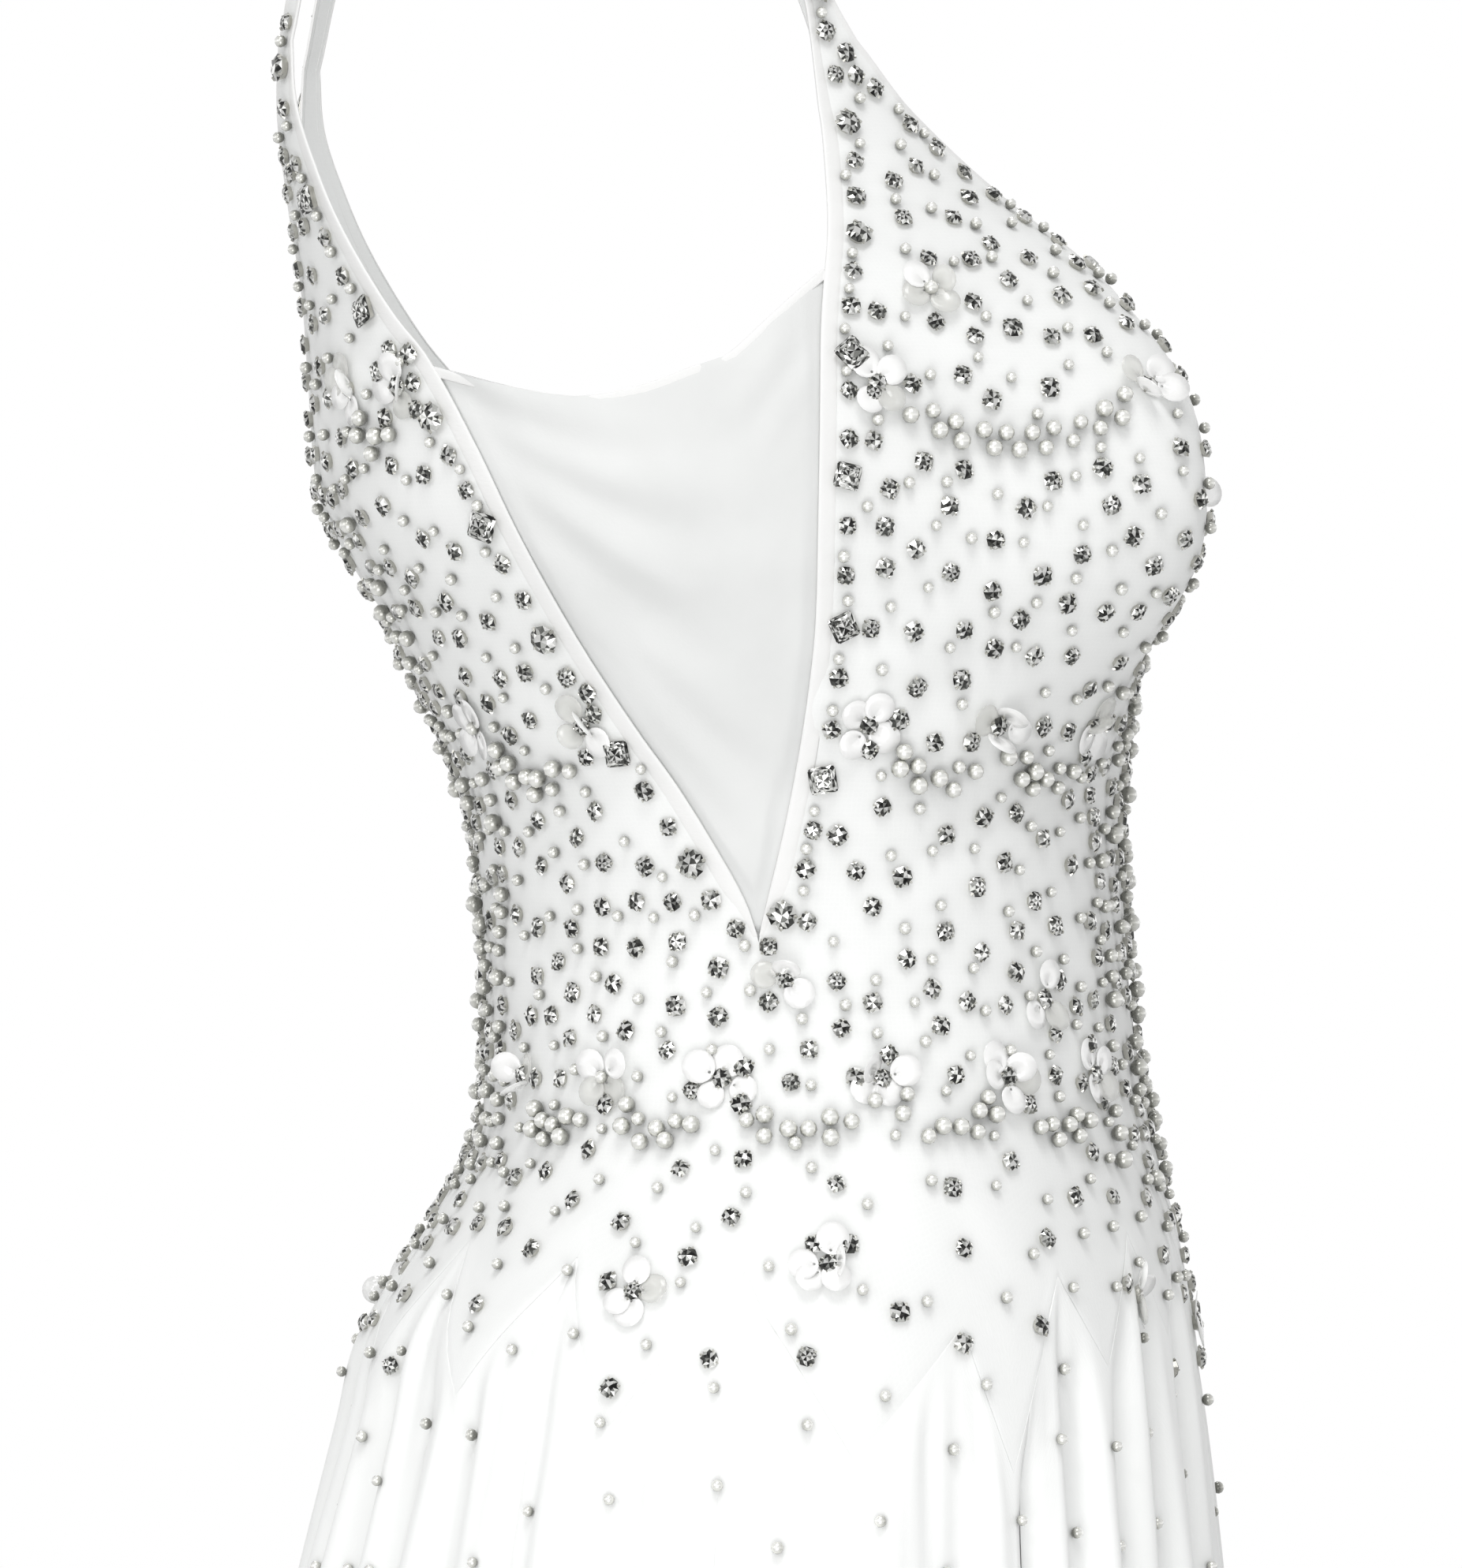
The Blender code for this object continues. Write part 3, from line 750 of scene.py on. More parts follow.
@dataclass
class ClothGrid:
    """A piece of cloth as a grid of points, given its wall: rows run down and columns round.

    Attributes:
        name: The piece's name.
        columns: How many cells across.
        rows: How many cells down.
        place: Gives the point of a column and row in millimetres, on the right side.
        finish: The cloth's finish.
        wall: The wall's thickness.
        side: Which side it is on.
        flip: Whether the points run the other way round.
        relief: Gives how far a column and row stand out from the points.
        pointed: Whether its edge is cut in points, so that rows are measured level.
    """

    name: str
    columns: int
    rows: int
    place: Callable[[int, int], Vector]
    finish: Finish
    wall: float = 0.9
    side: Side = Side.RIGHT
    flip: bool = False
    relief: Callable[[int, int], float] | None = None
    pointed: bool = False
    flat: tuple[float, float] = field(default=(0.0, 0.0), init=False)
    area: float = field(default=0.0, init=False)

    def _points(self) -> list[list[Vector]]:
        """Every point in metres, row by row, on the piece's own side."""
        turn = self.side.value
        return [
            [
                Vector((p.x, p.y * turn, p.z)) * MM
                for p in (self.place(column, row) for column in range(self.columns + 1))
            ]
            for row in range(self.rows + 1)
        ]

    def _lengths(self, points: list[list[Vector]]) -> tuple[list[list[float]], list[float]]:
        """How far each point is along its row from the middle column, and each row is down that column."""
        middle = self.columns // 2
        along = []
        for row in points:
            reach = [0.0]
            for a, b in zip(row, row[1:]):
                reach.append(reach[-1] + ((b - a).xy.length if self.pointed else (b - a).length))
            along.append([r - reach[middle] for r in reach])
        down = [0.0]
        for a, b in zip(points, points[1:]):
            down.append(down[-1] + (b[middle] - a[middle]).length)
        return along, down

    def build(self) -> bpy.types.Object:
        """Makes the piece with its UV map in metres.

        Returns:
            The new object, with its wall as a modifier.
        """
        points = self._points()
        along, down = self._lengths(points)
        shape = bmesh.new()
        uv = shape.loops.layers.uv.new("UVMap")
        bmesh.ops.create_grid(shape, x_segments=self.columns, y_segments=self.rows, size=0.5, calc_uvs=True)
        spots = {}
        for vert in shape.verts:
            column = round((vert.co.x + 0.5) * self.columns)
            row = round((0.5 - vert.co.y) * self.rows)
            spots[vert] = (column, row)
        for vert, (column, row) in spots.items():
            vert.co = points[row][column]
        for face in shape.faces:
            for loop in face.loops:
                column, row = spots[loop.vert]
                loop[uv].uv = (along[row][column], -down[row])
        if (self.side is Side.RIGHT) != self.flip:
            bmesh.ops.reverse_faces(shape, faces=shape.faces)
        if self.relief:
            shape.normal_update()
            lifts = {vert: vert.normal * (self.relief(*spots[vert]) * MM) for vert in spots}
            for vert, lift in lifts.items():
                vert.co += lift
        self.area = sum(face.calc_area() for face in shape.faces)
        widest = max(row[-1] - row[0] for row in along)
        self.flat = (widest, max(down[-1], self.area / widest, LEAST_CUT))
        mesh = meshed(self.name, shape)
        mesh.shade_smooth()
        mesh.materials.append(self.finish.material())
        piece = linked(self.name, mesh)
        wall = piece.modifiers.new("Wall", "SOLIDIFY")
        wall.thickness = self.wall * MM
        wall.offset = -1.0
        shading = piece.modifiers.new("Shading", "WEIGHTED_NORMAL")
        shading.weight = 100
        return piece


def crease_lift(creases: Iterable[Crease], u: float, v: float) -> float:
    """How far creases lift or sink the cloth at a place.

    Args:
        creases: Troughs whose ends are in the same millimetres as the place.
        u: Across.
        v: Down.

    Returns:
        The lift in millimetres, below zero in a trough.
    """
    overrun, ridge_off, ridge = 0.15, 1.7, 0.55
    total = 0.0
    for crease in creases:
        (u0, v0), (u1, v1) = crease.start, crease.end
        du, dv = u1 - u0, v1 - v0
        length = math.hypot(du, dv)
        share = ((u - u0) * du + (v - v0) * dv) / (length * length)
        if not -overrun < share < 1.15:
            continue
        off = ((v - v0) * du - (u - u0) * dv) / length / crease.width
        if abs(off) > 3:
            continue
        taper = eased((share + overrun) / 0.3) * eased((1.15 - share) / 0.5)
        beside = ridge * math.exp(-((abs(off) - ridge_off) ** 2))
        total += crease.depth * taper * (beside - math.exp(-off * off))
    return total


def grown(values: Sequence[float], step: float) -> list[float]:
    """The values with even steps no longer than step put between them."""
    found = [values[0]]
    for start, end in zip(values, values[1:]):
        count = max(1, math.ceil((end - start) / step))
        found += [between(start, end, k / count) for k in range(1, count + 1)]
    return found


def dress(piece: bpy.types.Object, cloth: ClothGrid, node: str) -> None:
    """Puts a cloth piece in its node's place and logs its cut."""
    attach(piece, BODY)
    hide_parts(node)
    min(cloth.area, cloth.flat[0] * cloth.flat[1])
    LOG.info("%s: cut %.3f by %.3f m, %.4f m2", piece.name, *cloth.flat, cloth.area)


@dataclass
class BeadedPanel:
    """A front or back panel of net over crepe, cut in one with its half of the strap."""

    ahead: bool
    side: Side
    column_step: float = 1.9
    row_step: float = 5.0
    strap_steps: int = 26
    point_rows: int = 12
    pucker: float = 0.03
    seam_ridge: float = 0.06
    edge_roll: float = 0.16
    edge_dip: float = 0.12
    creases: tuple[Crease, ...] = (
        Crease((232, -400), (150, -455), 7.0, 0.9),
        Crease((236, -430), (165, -440), 6.0, 0.7),
        Crease((262, -402), (330, -452), 7.0, 0.9),
        Crease((258, -436), (320, -470), 6.0, 0.7),
        Crease((150, -300), (228, -338), 8.0, 0.8),
        Crease((120, -345), (205, -372), 7.0, 0.8),
        Crease((40, -330), (110, -352), 7.0, 0.7),
        Crease((300, -340), (372, -372), 7.0, 0.9),
        Crease((340, -395), (420, -372), 7.0, 0.9),
        Crease((330, -440), (430, -410), 8.0, 0.8),
        Crease((60, -420), (140, -402), 8.0, 0.7),
        Crease((180, -480), (130, -520), 6.0, 0.6),
        Crease((290, -478), (350, -512), 6.0, 0.6),
    )
    round_mm: float = 2.6

    def __post_init__(self) -> None:
        """Works out the columns and rows."""
        low, high = (0.0, FORM.side_seam) if self.ahead else (FORM.side_seam, 180.0)
        corners = [c.angle for c in HEM_CORNERS if low <= c.angle <= high]
        self.low, self.high = low, high
        self.shares = [(a - low) / (high - low) for a in grown(corners, self.column_step)]
        count = math.ceil((FORM.strap_root - FORM.flat_end) / self.row_step)
        self.heights = [between(FORM.strap_root, FORM.flat_end, k / count) for k in range(count + 1)]

    def edges(self, height: float) -> tuple[float, float]:
        """The angles of the first and last column at a height."""
        outer, inner = FORM.armhole(self.ahead, height), FORM.neck(self.ahead, height)
        return (inner, outer) if self.ahead else (outer, inner)

    def where(self, column: int, row: int) -> tuple[float, float]:
        """The angle and height of a point below the strap."""
        share = self.shares[column]
        row -= self.strap_steps
        if row < len(self.heights):
            height = self.heights[row]
        else:
            lowest = FORM.hem_height(between(self.low, self.high, share)) + 0.3
            height = between(self.heights[-1], lowest, (row - len(self.heights) + 1) / self.point_rows)
        return between(*self.edges(height), share), height

    def point(self, column: int, row: int) -> Vector:
        """The point of a column and row, on the right side."""
        if row < self.strap_steps:
            root = 0.0 if self.ahead else STRAP_END
            outer, inner = FORM.strap(between(STRAP_SEAM, root, row / self.strap_steps))
            first, last = (inner, outer) if self.ahead else (outer, inner)
            return first.lerp(last, self.shares[column])
        return FORM.point(*self.where(column, row), folded=False)

    def relief(self, column: int, row: int) -> float:
        """Soft drag lines, the pucker at the side seam and the ridge by it, and the edge's soft roll."""
        if row < self.strap_steps:
            return 0.0
        angle, height = self.where(column, row)
        lift = crease_lift(self.creases, angle * self.round_mm, height)
        off_seam = abs(angle - FORM.side_seam) * self.round_mm
        if height < FORM.inset_tip:
            near = math.exp(-((off_seam / 2.2) ** 2))
            lift += near * self.pucker * math.sin(height * 0.31)
            lift += self.seam_ridge * math.exp(-(((off_seam - 4.5) / 2.5) ** 2))
        from_edge = height - FORM.hem_height(between(self.low, self.high, self.shares[column]))
        rolled = self.edge_roll * math.exp(-(((from_edge - 3.5) / 2.5) ** 2))
        return lift + (rolled - self.edge_dip * math.exp(-((from_edge / 2.2) ** 2)))

    def build(self) -> bpy.types.Object:
        """Makes and dresses the panel."""
        name = f"{'front' if self.ahead else 'back'}_panel_{self.side.word}"
        columns = len(self.shares) - 1
        rows = self.strap_steps + len(self.heights) - 1 + self.point_rows
        cloth = ClothGrid(f"{name}_cloth", columns, rows, self.point, TULLE, 0.5, self.side)
        cloth.relief, cloth.pointed = self.relief, True
        piece = cloth.build()
        dress(piece, cloth, name)
        return piece


@dataclass
class SideInset:
    """The plain crepe set in under the arm, tucked a little way under both panels."""

    side: Side
    columns: int = 40
    rows: int = 64
    tuck: float = 2.2
    sink: float = 1.5
    above_tip: float = 1.5
    crowding: float = 0.92
    round_mm: float = 2.45
    top_mm: float = 120.0
    depth_mm: float = 178.0
    creases: tuple[Crease, ...] = (
        Crease((112, 5), (52, 22), 6.0, 1.8),
        Crease((110, 14), (34, 58), 8.0, 2.2),
        Crease((104, 30), (46, 96), 8.0, 1.6),
        Crease((6, 16), (40, 26), 5.0, 0.8),
        Crease((88, 62), (52, 124), 6.0, 0.7),
        Crease((8, 60), (22, 130), 6.0, 0.6),
        Crease((60, 110), (36, 160), 5.0, 0.5),
    )

    def angle_and_height(self, across: float, down: float) -> tuple[float, float]:
        """Where a share across and a share down lie."""
        height = between(smooth_between(INSET_TOP, across)[1], FORM.inset_tip + self.above_tip, down)
        low = FORM.moved(FORM.armhole(True, height), height, -self.tuck)
        high = FORM.moved(FORM.armhole(False, height), height, self.tuck)
        return between(low, high, across), height

    def point(self, column: int, row: int) -> Vector:
        """The point of a column and row, on the right side."""
        down = (row / self.rows) ** self.crowding
        return FORM.point(*self.angle_and_height(column / self.columns, down), folded=False)

    def relief(self, column: int, row: int) -> float:
        """The creases that fan from the upper back corner, and the edges sunk under the panels."""
        across, down = column / self.columns, (row / self.rows) ** self.crowding
        height = between(smooth_between(INSET_TOP, across)[1], FORM.inset_tip, down)
        wide = max(FORM.armhole(False, height) - FORM.armhole(True, height), 1.0) * self.round_mm
        from_edge = min(across, 1 - across) * wide
        sunk = self.sink * (1 - eased((from_edge - self.tuck) / 5.0))
        u = across * wide + (self.top_mm - wide) * 0.5
        return crease_lift(self.creases, u, down * self.depth_mm) * eased(from_edge / 8.0) - max(sunk, 0.25)

    def build(self) -> bpy.types.Object:
        """Makes and dresses the inset."""
        name = f"side_inset_{self.side.word}"
        cloth = ClothGrid(
            f"{name}_cloth", self.columns, self.rows, self.point, CREPE, side=self.side, relief=self.relief
        )
        piece = cloth.build()
        dress(piece, cloth, name)
        return piece


class BandPoint(NamedTuple):
    """A point of a binding's section: how far in from the edge, as a share of its width, and how far out."""

    inset: float
    out: float


class Frame(NamedTuple):
    """A place along a cut edge: its point, the ways into the cloth and out of it, and the band's width."""

    edge: Vector
    inward: Vector
    out: Vector
    width: float


@dataclass
class EdgeBand:
    """A satin band rolled over an edge: a row of frames along the edge carries its rounded section."""

    name: str
    node: str
    side: Side
    frames: list[Frame]
    profile: tuple[BandPoint, ...] = (
        BandPoint(1.08, -0.2),
        BandPoint(0.98, 0.0),
        BandPoint(0.8, 0.1),
        BandPoint(0.55, 0.19),
        BandPoint(0.3, 0.26),
        BandPoint(0.1, 0.26),
        BandPoint(0.0, 0.12),
        BandPoint(-0.05, -0.15),
        BandPoint(-0.04, -0.7),
    )

    def point(self, column: int, row: int) -> Vector:
        """The point of a frame and a place on the section."""
        edge, inward, out, width = self.frames[column]
        spot = self.profile[row]
        ripple = 1.0 + 0.05 * math.sin(column * 1.7) * math.sin(column * 0.61)
        return edge + inward * (spot.inset * width) + out * (spot.out * ripple)

    def build(self) -> bpy.types.Object:
        """Makes and dresses the band."""
        half = len(self.frames) // 2
        middle = self.frames[half]
        along = self.frames[half + 1].edge - self.frames[half - 1].edge
        turned = along.cross(middle.inward).dot(middle.out) > 0
        columns, rows = len(self.frames) - 1, len(self.profile) - 1
        cloth = ClothGrid(self.name, columns, rows, self.point, SATIN, 0.5, self.side, turned)
        piece = cloth.build()
        dress(piece, cloth, self.node)
        return piece


def panel_frames(armhole: bool, width: float, strap_width: float) -> list[Frame]:
    """Frames along the right armhole or neckline, from the front's lowest point over the strap to the back's.

    Args:
        armhole: Whether it is the armhole edge, and not the neckline.
        width: The band's width on the panels.
        strap_width: Its width on the strap.

    Returns:
        The frames.
    """
    step, strap_count, widens_over, closing_frames = 4.0, 60, 40, 5
    front_bottom, back_bottom = FORM.neck_front_bottom, FORM.neck_back_bottom
    if armhole:
        front_bottom = back_bottom = FORM.inset_tip

    def on_panel(ahead: bool, bottom: float) -> list[Frame]:
        """Frames from the strap's root down to the lowest point of one panel."""
        count = math.ceil((FORM.strap_root - bottom) / step)
        found = []
        for k in range(count + 1):
            height = between(FORM.strap_root, bottom, k / count)
            at = FORM.armhole if armhole else FORM.neck
            angle = at(ahead, height)
            towards = -1 if ahead == armhole else 1
            if angle in (0.0, 180.0, FORM.side_seam):
                angle = FORM.moved(angle, height, towards * 0.35)
            edge = FORM.point(angle, height, False)
            inner = FORM.point(FORM.moved(angle, height, towards * 3.0), height, False)
            inward = (inner - edge).normalized()
            lower = FORM.point(at(ahead, height - 1.0), height - 1.0, False)
            upper = FORM.point(at(ahead, height + 1.0), height + 1.0, False) if k else edge
            run = (lower - upper).normalized()
            out = run.cross(inward).normalized()
            if out.dot(FORM.normal(angle, min(height, FORM.strap_root - 1))) < 0:
                out = -out
            square = (inward - run * inward.dot(run)).normalized()
            wide = between(strap_width, width, eased(k * step / widens_over))
            closing = between(0.3, 1.0, eased((count - k) / closing_frames))
            found.append(Frame(edge, square, out * closing, wide * closing))
        return found

    strap = []
    for k in range(1, strap_count):
        position = STRAP_END * k / strap_count
        outer, inner = FORM.strap(position)
        ahead_pair = FORM.strap(position + 0.05)
        edge, other, nearby = (outer, inner, ahead_pair[0]) if armhole else (inner, outer, ahead_pair[1])
        inward = (other - edge).normalized()
        out = (nearby - edge).normalized().cross((outer - inner).normalized())
        strap.append(Frame(edge, inward, out.normalized(), strap_width))
    return [*on_panel(True, front_bottom)[::-1], *strap, *on_panel(False, back_bottom)]


def inset_frames(width: float) -> list[Frame]:
    """Frames along the top of the right inset, from its front end to its back end."""
    inset = SideInset(Side.RIGHT)
    count = 40
    frames = []
    for k in range(count + 1):
        across = between(0.022, 0.978, k / count)
        here = FORM.point(*inset.angle_and_height(across, 0.0), folded=False)
        below = FORM.point(*inset.angle_and_height(across, 0.02), folded=False)
        before = FORM.point(*inset.angle_and_height(max(across - 0.01, 0), 0.0), folded=False)
        after = FORM.point(*inset.angle_and_height(min(across + 0.01, 1), 0.0), folded=False)
        inward = (below - here).normalized()
        run = (after - before).normalized()
        out = run.cross(inward).normalized()
        if out.y > 0:
            out = -out
        square = (inward - run * inward.dot(run)).normalized()
        frames.append(Frame(here - out * 0.3, square, out, width))
    return frames


class Waver(NamedTuple):
    """A slow wave in the folds: its size, how it runs round and down the skirt, and where it starts."""

    size: float
    round: float
    down: float
    start: float = 0.0

    def at(self, angle: float, height: float) -> float:
        """How high the wave stands, from -1 to 1."""
        return math.sin(angle * self.round + height * self.down + self.start)


@dataclass
class SkirtGore:
    """A gore of white chiffon between two seams, its top edge tucked under the beaded points."""

    node: str
    low: float
    high: float
    column_step: float = 0.8
    tuck: float = 5.0
    sink: float = 1.0
    step_down: float = 0.06
    front_gather: float = 4.2
    side_gather: float = 0.9
    back_gather: float = 2.6
    depth: float = 930.0
    high_wavers: tuple[Waver, ...] = (Waver(0.9, 0.93, 0.021), Waver(0.6, 1.71, -0.013, 1.3))
    low_waver: Waver = Waver(1.6, 0.31, 0.008)
    first_rows: tuple[float, ...] = (-5.0, -2.4, -1.3, -0.8, -0.3, 0.4, 1.5, 2.8, 4.6, 7.0, 10.0, 14.0)
    row_growth: float = 1.065

    def __post_init__(self) -> None:
        """Works out the columns and the rows, which are close by the beaded edge and wider apart below."""
        sides = [sign * c.angle for c in HEM_CORNERS for sign in (1, -1)]
        inner = sorted({a for a in sides if self.low < a < self.high})
        self.angles = grown([self.low, *inner, self.high], self.column_step)
        self.belows = list(self.first_rows)
        step = 4.5
        while self.belows[-1] + 1.4 * step < self.depth:
            self.belows.append(self.belows[-1] + step)
            step *= self.row_growth
        self.belows.append(self.depth)

    def ways(self, column: int, row: int) -> tuple[float, float, float]:
        """The angle and height of a point, and how far it is below the beaded edge."""
        angle = self.angles[column]
        edge = FORM.hem_height(angle)
        below = self.belows[row]
        return angle, edge - below * (edge - FORM.hem) / self.depth, below

    def point(self, column: int, row: int) -> Vector:
        """The point of a column and row."""
        angle, height, _ = self.ways(column, row)
        return FORM.point(angle, height)

    def gather(self, angle: float) -> float:
        """How deep the folds already are just below the points, where the gathers start."""
        towards_front = 1 - eased((abs(angle) - FRONT_SEAM) / 8.0)
        towards_back = eased((abs(angle) - BACK_SEAM) / 16.0)
        return self.side_gather + self.front_gather * towards_front + self.back_gather * towards_back

    def relief(self, column: int, row: int) -> float:
        """The tuck under the points, small creases below them, and a slight waver in the folds."""
        angle, height, below = self.ways(column, row)
        lift = -self.sink + (self.sink - self.step_down) * eased((below + 1.2) / 0.9)
        lift += self.step_down * eased((below - 0.5) / 12.0)
        lift -= self.gather(angle) * FORM.fold(angle)[1] * eased(below / 32.0) * math.exp(-below / 260.0)
        fade = eased(below / 25.0)
        near = math.exp(-max(below, 0.0) / 160.0)
        for waver in self.high_wavers:
            lift += fade * near * waver.size * waver.at(angle, height)
        return lift + fade * self.low_waver.size * self.low_waver.at(angle, height) * (1 - near)

    def build(self) -> bpy.types.Object:
        """Makes and dresses the gore."""
        columns, rows = len(self.angles) - 1, len(self.belows) - 1
        cloth = ClothGrid(
            f"{self.node}_cloth", columns, rows, self.point, CHIFFON, 0.8, relief=self.relief, pointed=True
        )
        piece = cloth.build()
        dress(piece, cloth, self.node)
        return piece


class BeadKind(Enum):
    """What is sewn on, with its usual width in millimetres."""

    ROUND_STONE = 6.6
    LARGE_ROUND_STONE = 9.4
    SQUARE_STONE = 9.0
    PEARL = 5.8
    SMALL_PEARL = 4.8
    SEED_PEARL = 3.9
    SEQUIN = 10.2
    CLEAR_SEQUIN = 10.4


@dataclass
class Bead:
    """One thing sewn on: its seat on the cloth in metres, which way it faces, its width and its turn."""

    kind: BeadKind
    seat: Vector
    facing: Vector
    width: float
    turn: float


@dataclass
class BeadShapes:
    """Makes the shape of each kind of bead, one wide and seated at the origin, facing +Z."""

    chance: random.Random
    girdle: float = 0.26
    crown: float = 0.17
    claw: float = 0.075
    claw_out: float = 0.455
    claw_lean: float = 35.0
    sequin_hole: float = 0.36
    sequin_cup: float = 0.16
    sets: int = 7
    painted_reflection_picks: tuple[int, ...] = (0, 0, 1, 1, 2, 3, 3, 4, 4, 4)

    def stone(self, name: str, sides: int, table: float) -> bpy.types.Mesh:
        """A cut stone held in a small cup by four claws.

        Args:
            name: The mesh's name.
            sides: How many sides the crown has.
            table: The table's width as a share of the stone's.

        Returns:
            The mesh, with a painted reflection tone of glass picked for each facet and the setting in the
            last material.
        """
        shape = bmesh.new()
        turn = Matrix.Rotation(math.pi / sides, 3, "Z")
        round_up = 0.5 / math.cos(math.pi / sides) if sides == 4 else 0.5
        made = bmesh.ops.create_cone(
            shape,
            cap_ends=True,
            segments=sides,
            radius1=round_up,
            radius2=round_up * table,
            depth=self.crown,
        )
        bmesh.ops.rotate(shape, verts=made["verts"], matrix=turn)
        bmesh.ops.translate(shape, verts=made["verts"], vec=(0, 0, self.girdle + self.crown / 2))
        shape.normal_update()
        bottom = [f for f in shape.faces if f.normal.z < -0.9]
        bmesh.ops.delete(shape, geom=bottom, context="FACES_ONLY")
        if sides == 4:
            slants = [e for e in shape.edges if abs(e.verts[0].co.z - e.verts[1].co.z) > 0.1]
            bmesh.ops.bevel(
                shape, geom=slants, offset=0.09, segments=1, profile=0.5, affect="EDGES", material=-1
            )
            shape.normal_update()
            tops = [f for f in shape.faces if f.normal.z > 0.9]
            bmesh.ops.inset_individual(shape, faces=tops, thickness=0.1, depth=0.02)
            wide = [e for e in shape.edges if e.calc_length() > 0.25]
            bmesh.ops.subdivide_edges(shape, edges=wide, cuts=1, use_grid_fill=True)
        bmesh.ops.poke(shape, faces=list(shape.faces), offset=0.012)
        crown = set(shape.faces)
        cup = bmesh.ops.create_cone(
            shape,
            cap_ends=False,
            segments=sides,
            radius1=round_up * 0.72,
            radius2=round_up * 0.93,
            depth=self.girdle,
        )
        bmesh.ops.rotate(shape, verts=cup["verts"], matrix=turn)
        bmesh.ops.translate(shape, verts=cup["verts"], vec=(0, 0, self.girdle / 2))
        for k in range(4):
            claw = bmesh.ops.create_cone(
                shape, cap_ends=True, segments=4, radius1=self.claw, radius2=self.claw * 0.6, depth=0.16
            )
            lean, corner = math.radians(-self.claw_lean), math.pi * (0.25 + k / 2)
            bmesh.ops.rotate(shape, verts=claw["verts"], matrix=Matrix.Rotation(lean, 3, "Y"))
            bmesh.ops.translate(shape, verts=claw["verts"], vec=(self.claw_out, 0, self.girdle + 0.03))
            bmesh.ops.rotate(shape, verts=claw["verts"], matrix=Matrix.Rotation(corner, 3, "Z"))
        # Each crown facet gets a painted reflection tone at random; the rest is the setting.
        for face in shape.faces:
            face.material_index = self.chance.choice(self.painted_reflection_picks) if face in crown else len(PAINTED_REFLECTION_FACETS)
        return meshed(name, shape)

    def pearl(self, name: str) -> bpy.types.Mesh:
        """A round pearl, a very little sunk in the cloth."""
        shape = bmesh.new()
        bmesh.ops.create_icosphere(shape, subdivisions=2, radius=0.5)
        bmesh.ops.translate(shape, verts=shape.verts, vec=(0, 0, 0.47))
        return meshed(name, shape)

    def sequin(self, name: str, film: int) -> bpy.types.Mesh:
        """A thin shallow cup of the film with that number; its hole is at the origin and it lies along +X."""
        shape = bmesh.new()
        bmesh.ops.create_circle(shape, segments=18, radius=0.5)
        rim = list(shape.edges)
        hole = bmesh.ops.create_circle(shape, segments=6, radius=0.05)
        bmesh.ops.translate(shape, verts=hole["verts"], vec=(-self.sequin_hole, 0, 0))
        ring = [e for e in shape.edges if e not in rim]
        bmesh.ops.bridge_loops(shape, edges=rim + ring)
        inner = [e for e in shape.edges if not e.is_boundary]
        bmesh.ops.subdivide_edges(shape, edges=inner, cuts=1)
        bmesh.ops.triangulate(shape, faces=list(shape.faces))
        for face in shape.faces:
            face.material_index = film
        for vert in shape.verts:
            vert.co.z = self.sequin_cup * vert.co.xy.length_squared
        bmesh.ops.recalc_face_normals(shape, faces=list(shape.faces))
        bmesh.ops.translate(shape, verts=list(shape.verts), vec=(self.sequin_hole, 0, 0.02))
        return meshed(name, shape)

    def all(self) -> dict[BeadKind, list[bpy.types.Mesh]]:
        """Every kind's shapes, of which the stones have several, cut differently and each with its own
        painted reflections.
        """
        pearl = [self.pearl("pearl")]
        numbers = range(self.sets)
        return {
            BeadKind.ROUND_STONE: [self.stone(f"round_stone_{n}", 8, 0.5 + 0.03 * (n % 3)) for n in numbers],
            BeadKind.LARGE_ROUND_STONE: [self.stone(f"large_stone_{n}", 10, 0.5) for n in numbers],
            BeadKind.SQUARE_STONE: [self.stone(f"square_stone_{n}", 4, 0.6) for n in numbers],
            BeadKind.PEARL: pearl,
            BeadKind.SMALL_PEARL: pearl,
            BeadKind.SEED_PEARL: pearl,
            BeadKind.SEQUIN: [self.sequin("sequin", 0)],
            BeadKind.CLEAR_SEQUIN: [self.sequin("clear_sequin", 1)],
        }


class BeadLot(Enum):
    """The joined pieces that the beads are sorted into."""

    STONES = "stones"
    PEARLS = "pearls"
    SEQUINS = "sequins"


LOTS = {
    BeadLot.STONES: (BeadKind.ROUND_STONE, BeadKind.LARGE_ROUND_STONE, BeadKind.SQUARE_STONE),
    BeadLot.PEARLS: (BeadKind.PEARL, BeadKind.SMALL_PEARL, BeadKind.SEED_PEARL),
    BeadLot.SEQUINS: (BeadKind.SEQUIN, BeadKind.CLEAR_SEQUIN),
}


class EdgeRow(NamedTuple):
    """A row of big stones inside a binding: which edge, how far in it runs on the panel, and its pitch."""

    armhole: bool
    inset: float
    pitch: float


class PearlColumn(NamedTuple):
    """A wavy column of pearls and stones near a centre line."""

    angle: float
    top: float
    bottom: float
    wave: float


EDGE_ROWS = (EdgeRow(True, 9.0, 12.6), EdgeRow(False, 7.0, 10.4))
PEARL_COLUMNS = (
    PearlColumn(7, -285, -470, 2.2),
    PearlColumn(17, -300, -480, 2.6),
    PearlColumn(27, -310, -470, 3.0),
    PearlColumn(173, -300, -478, 2.2),
    PearlColumn(163, -275, -470, 2.6),
    PearlColumn(153, -255, -462, 2.8),
)


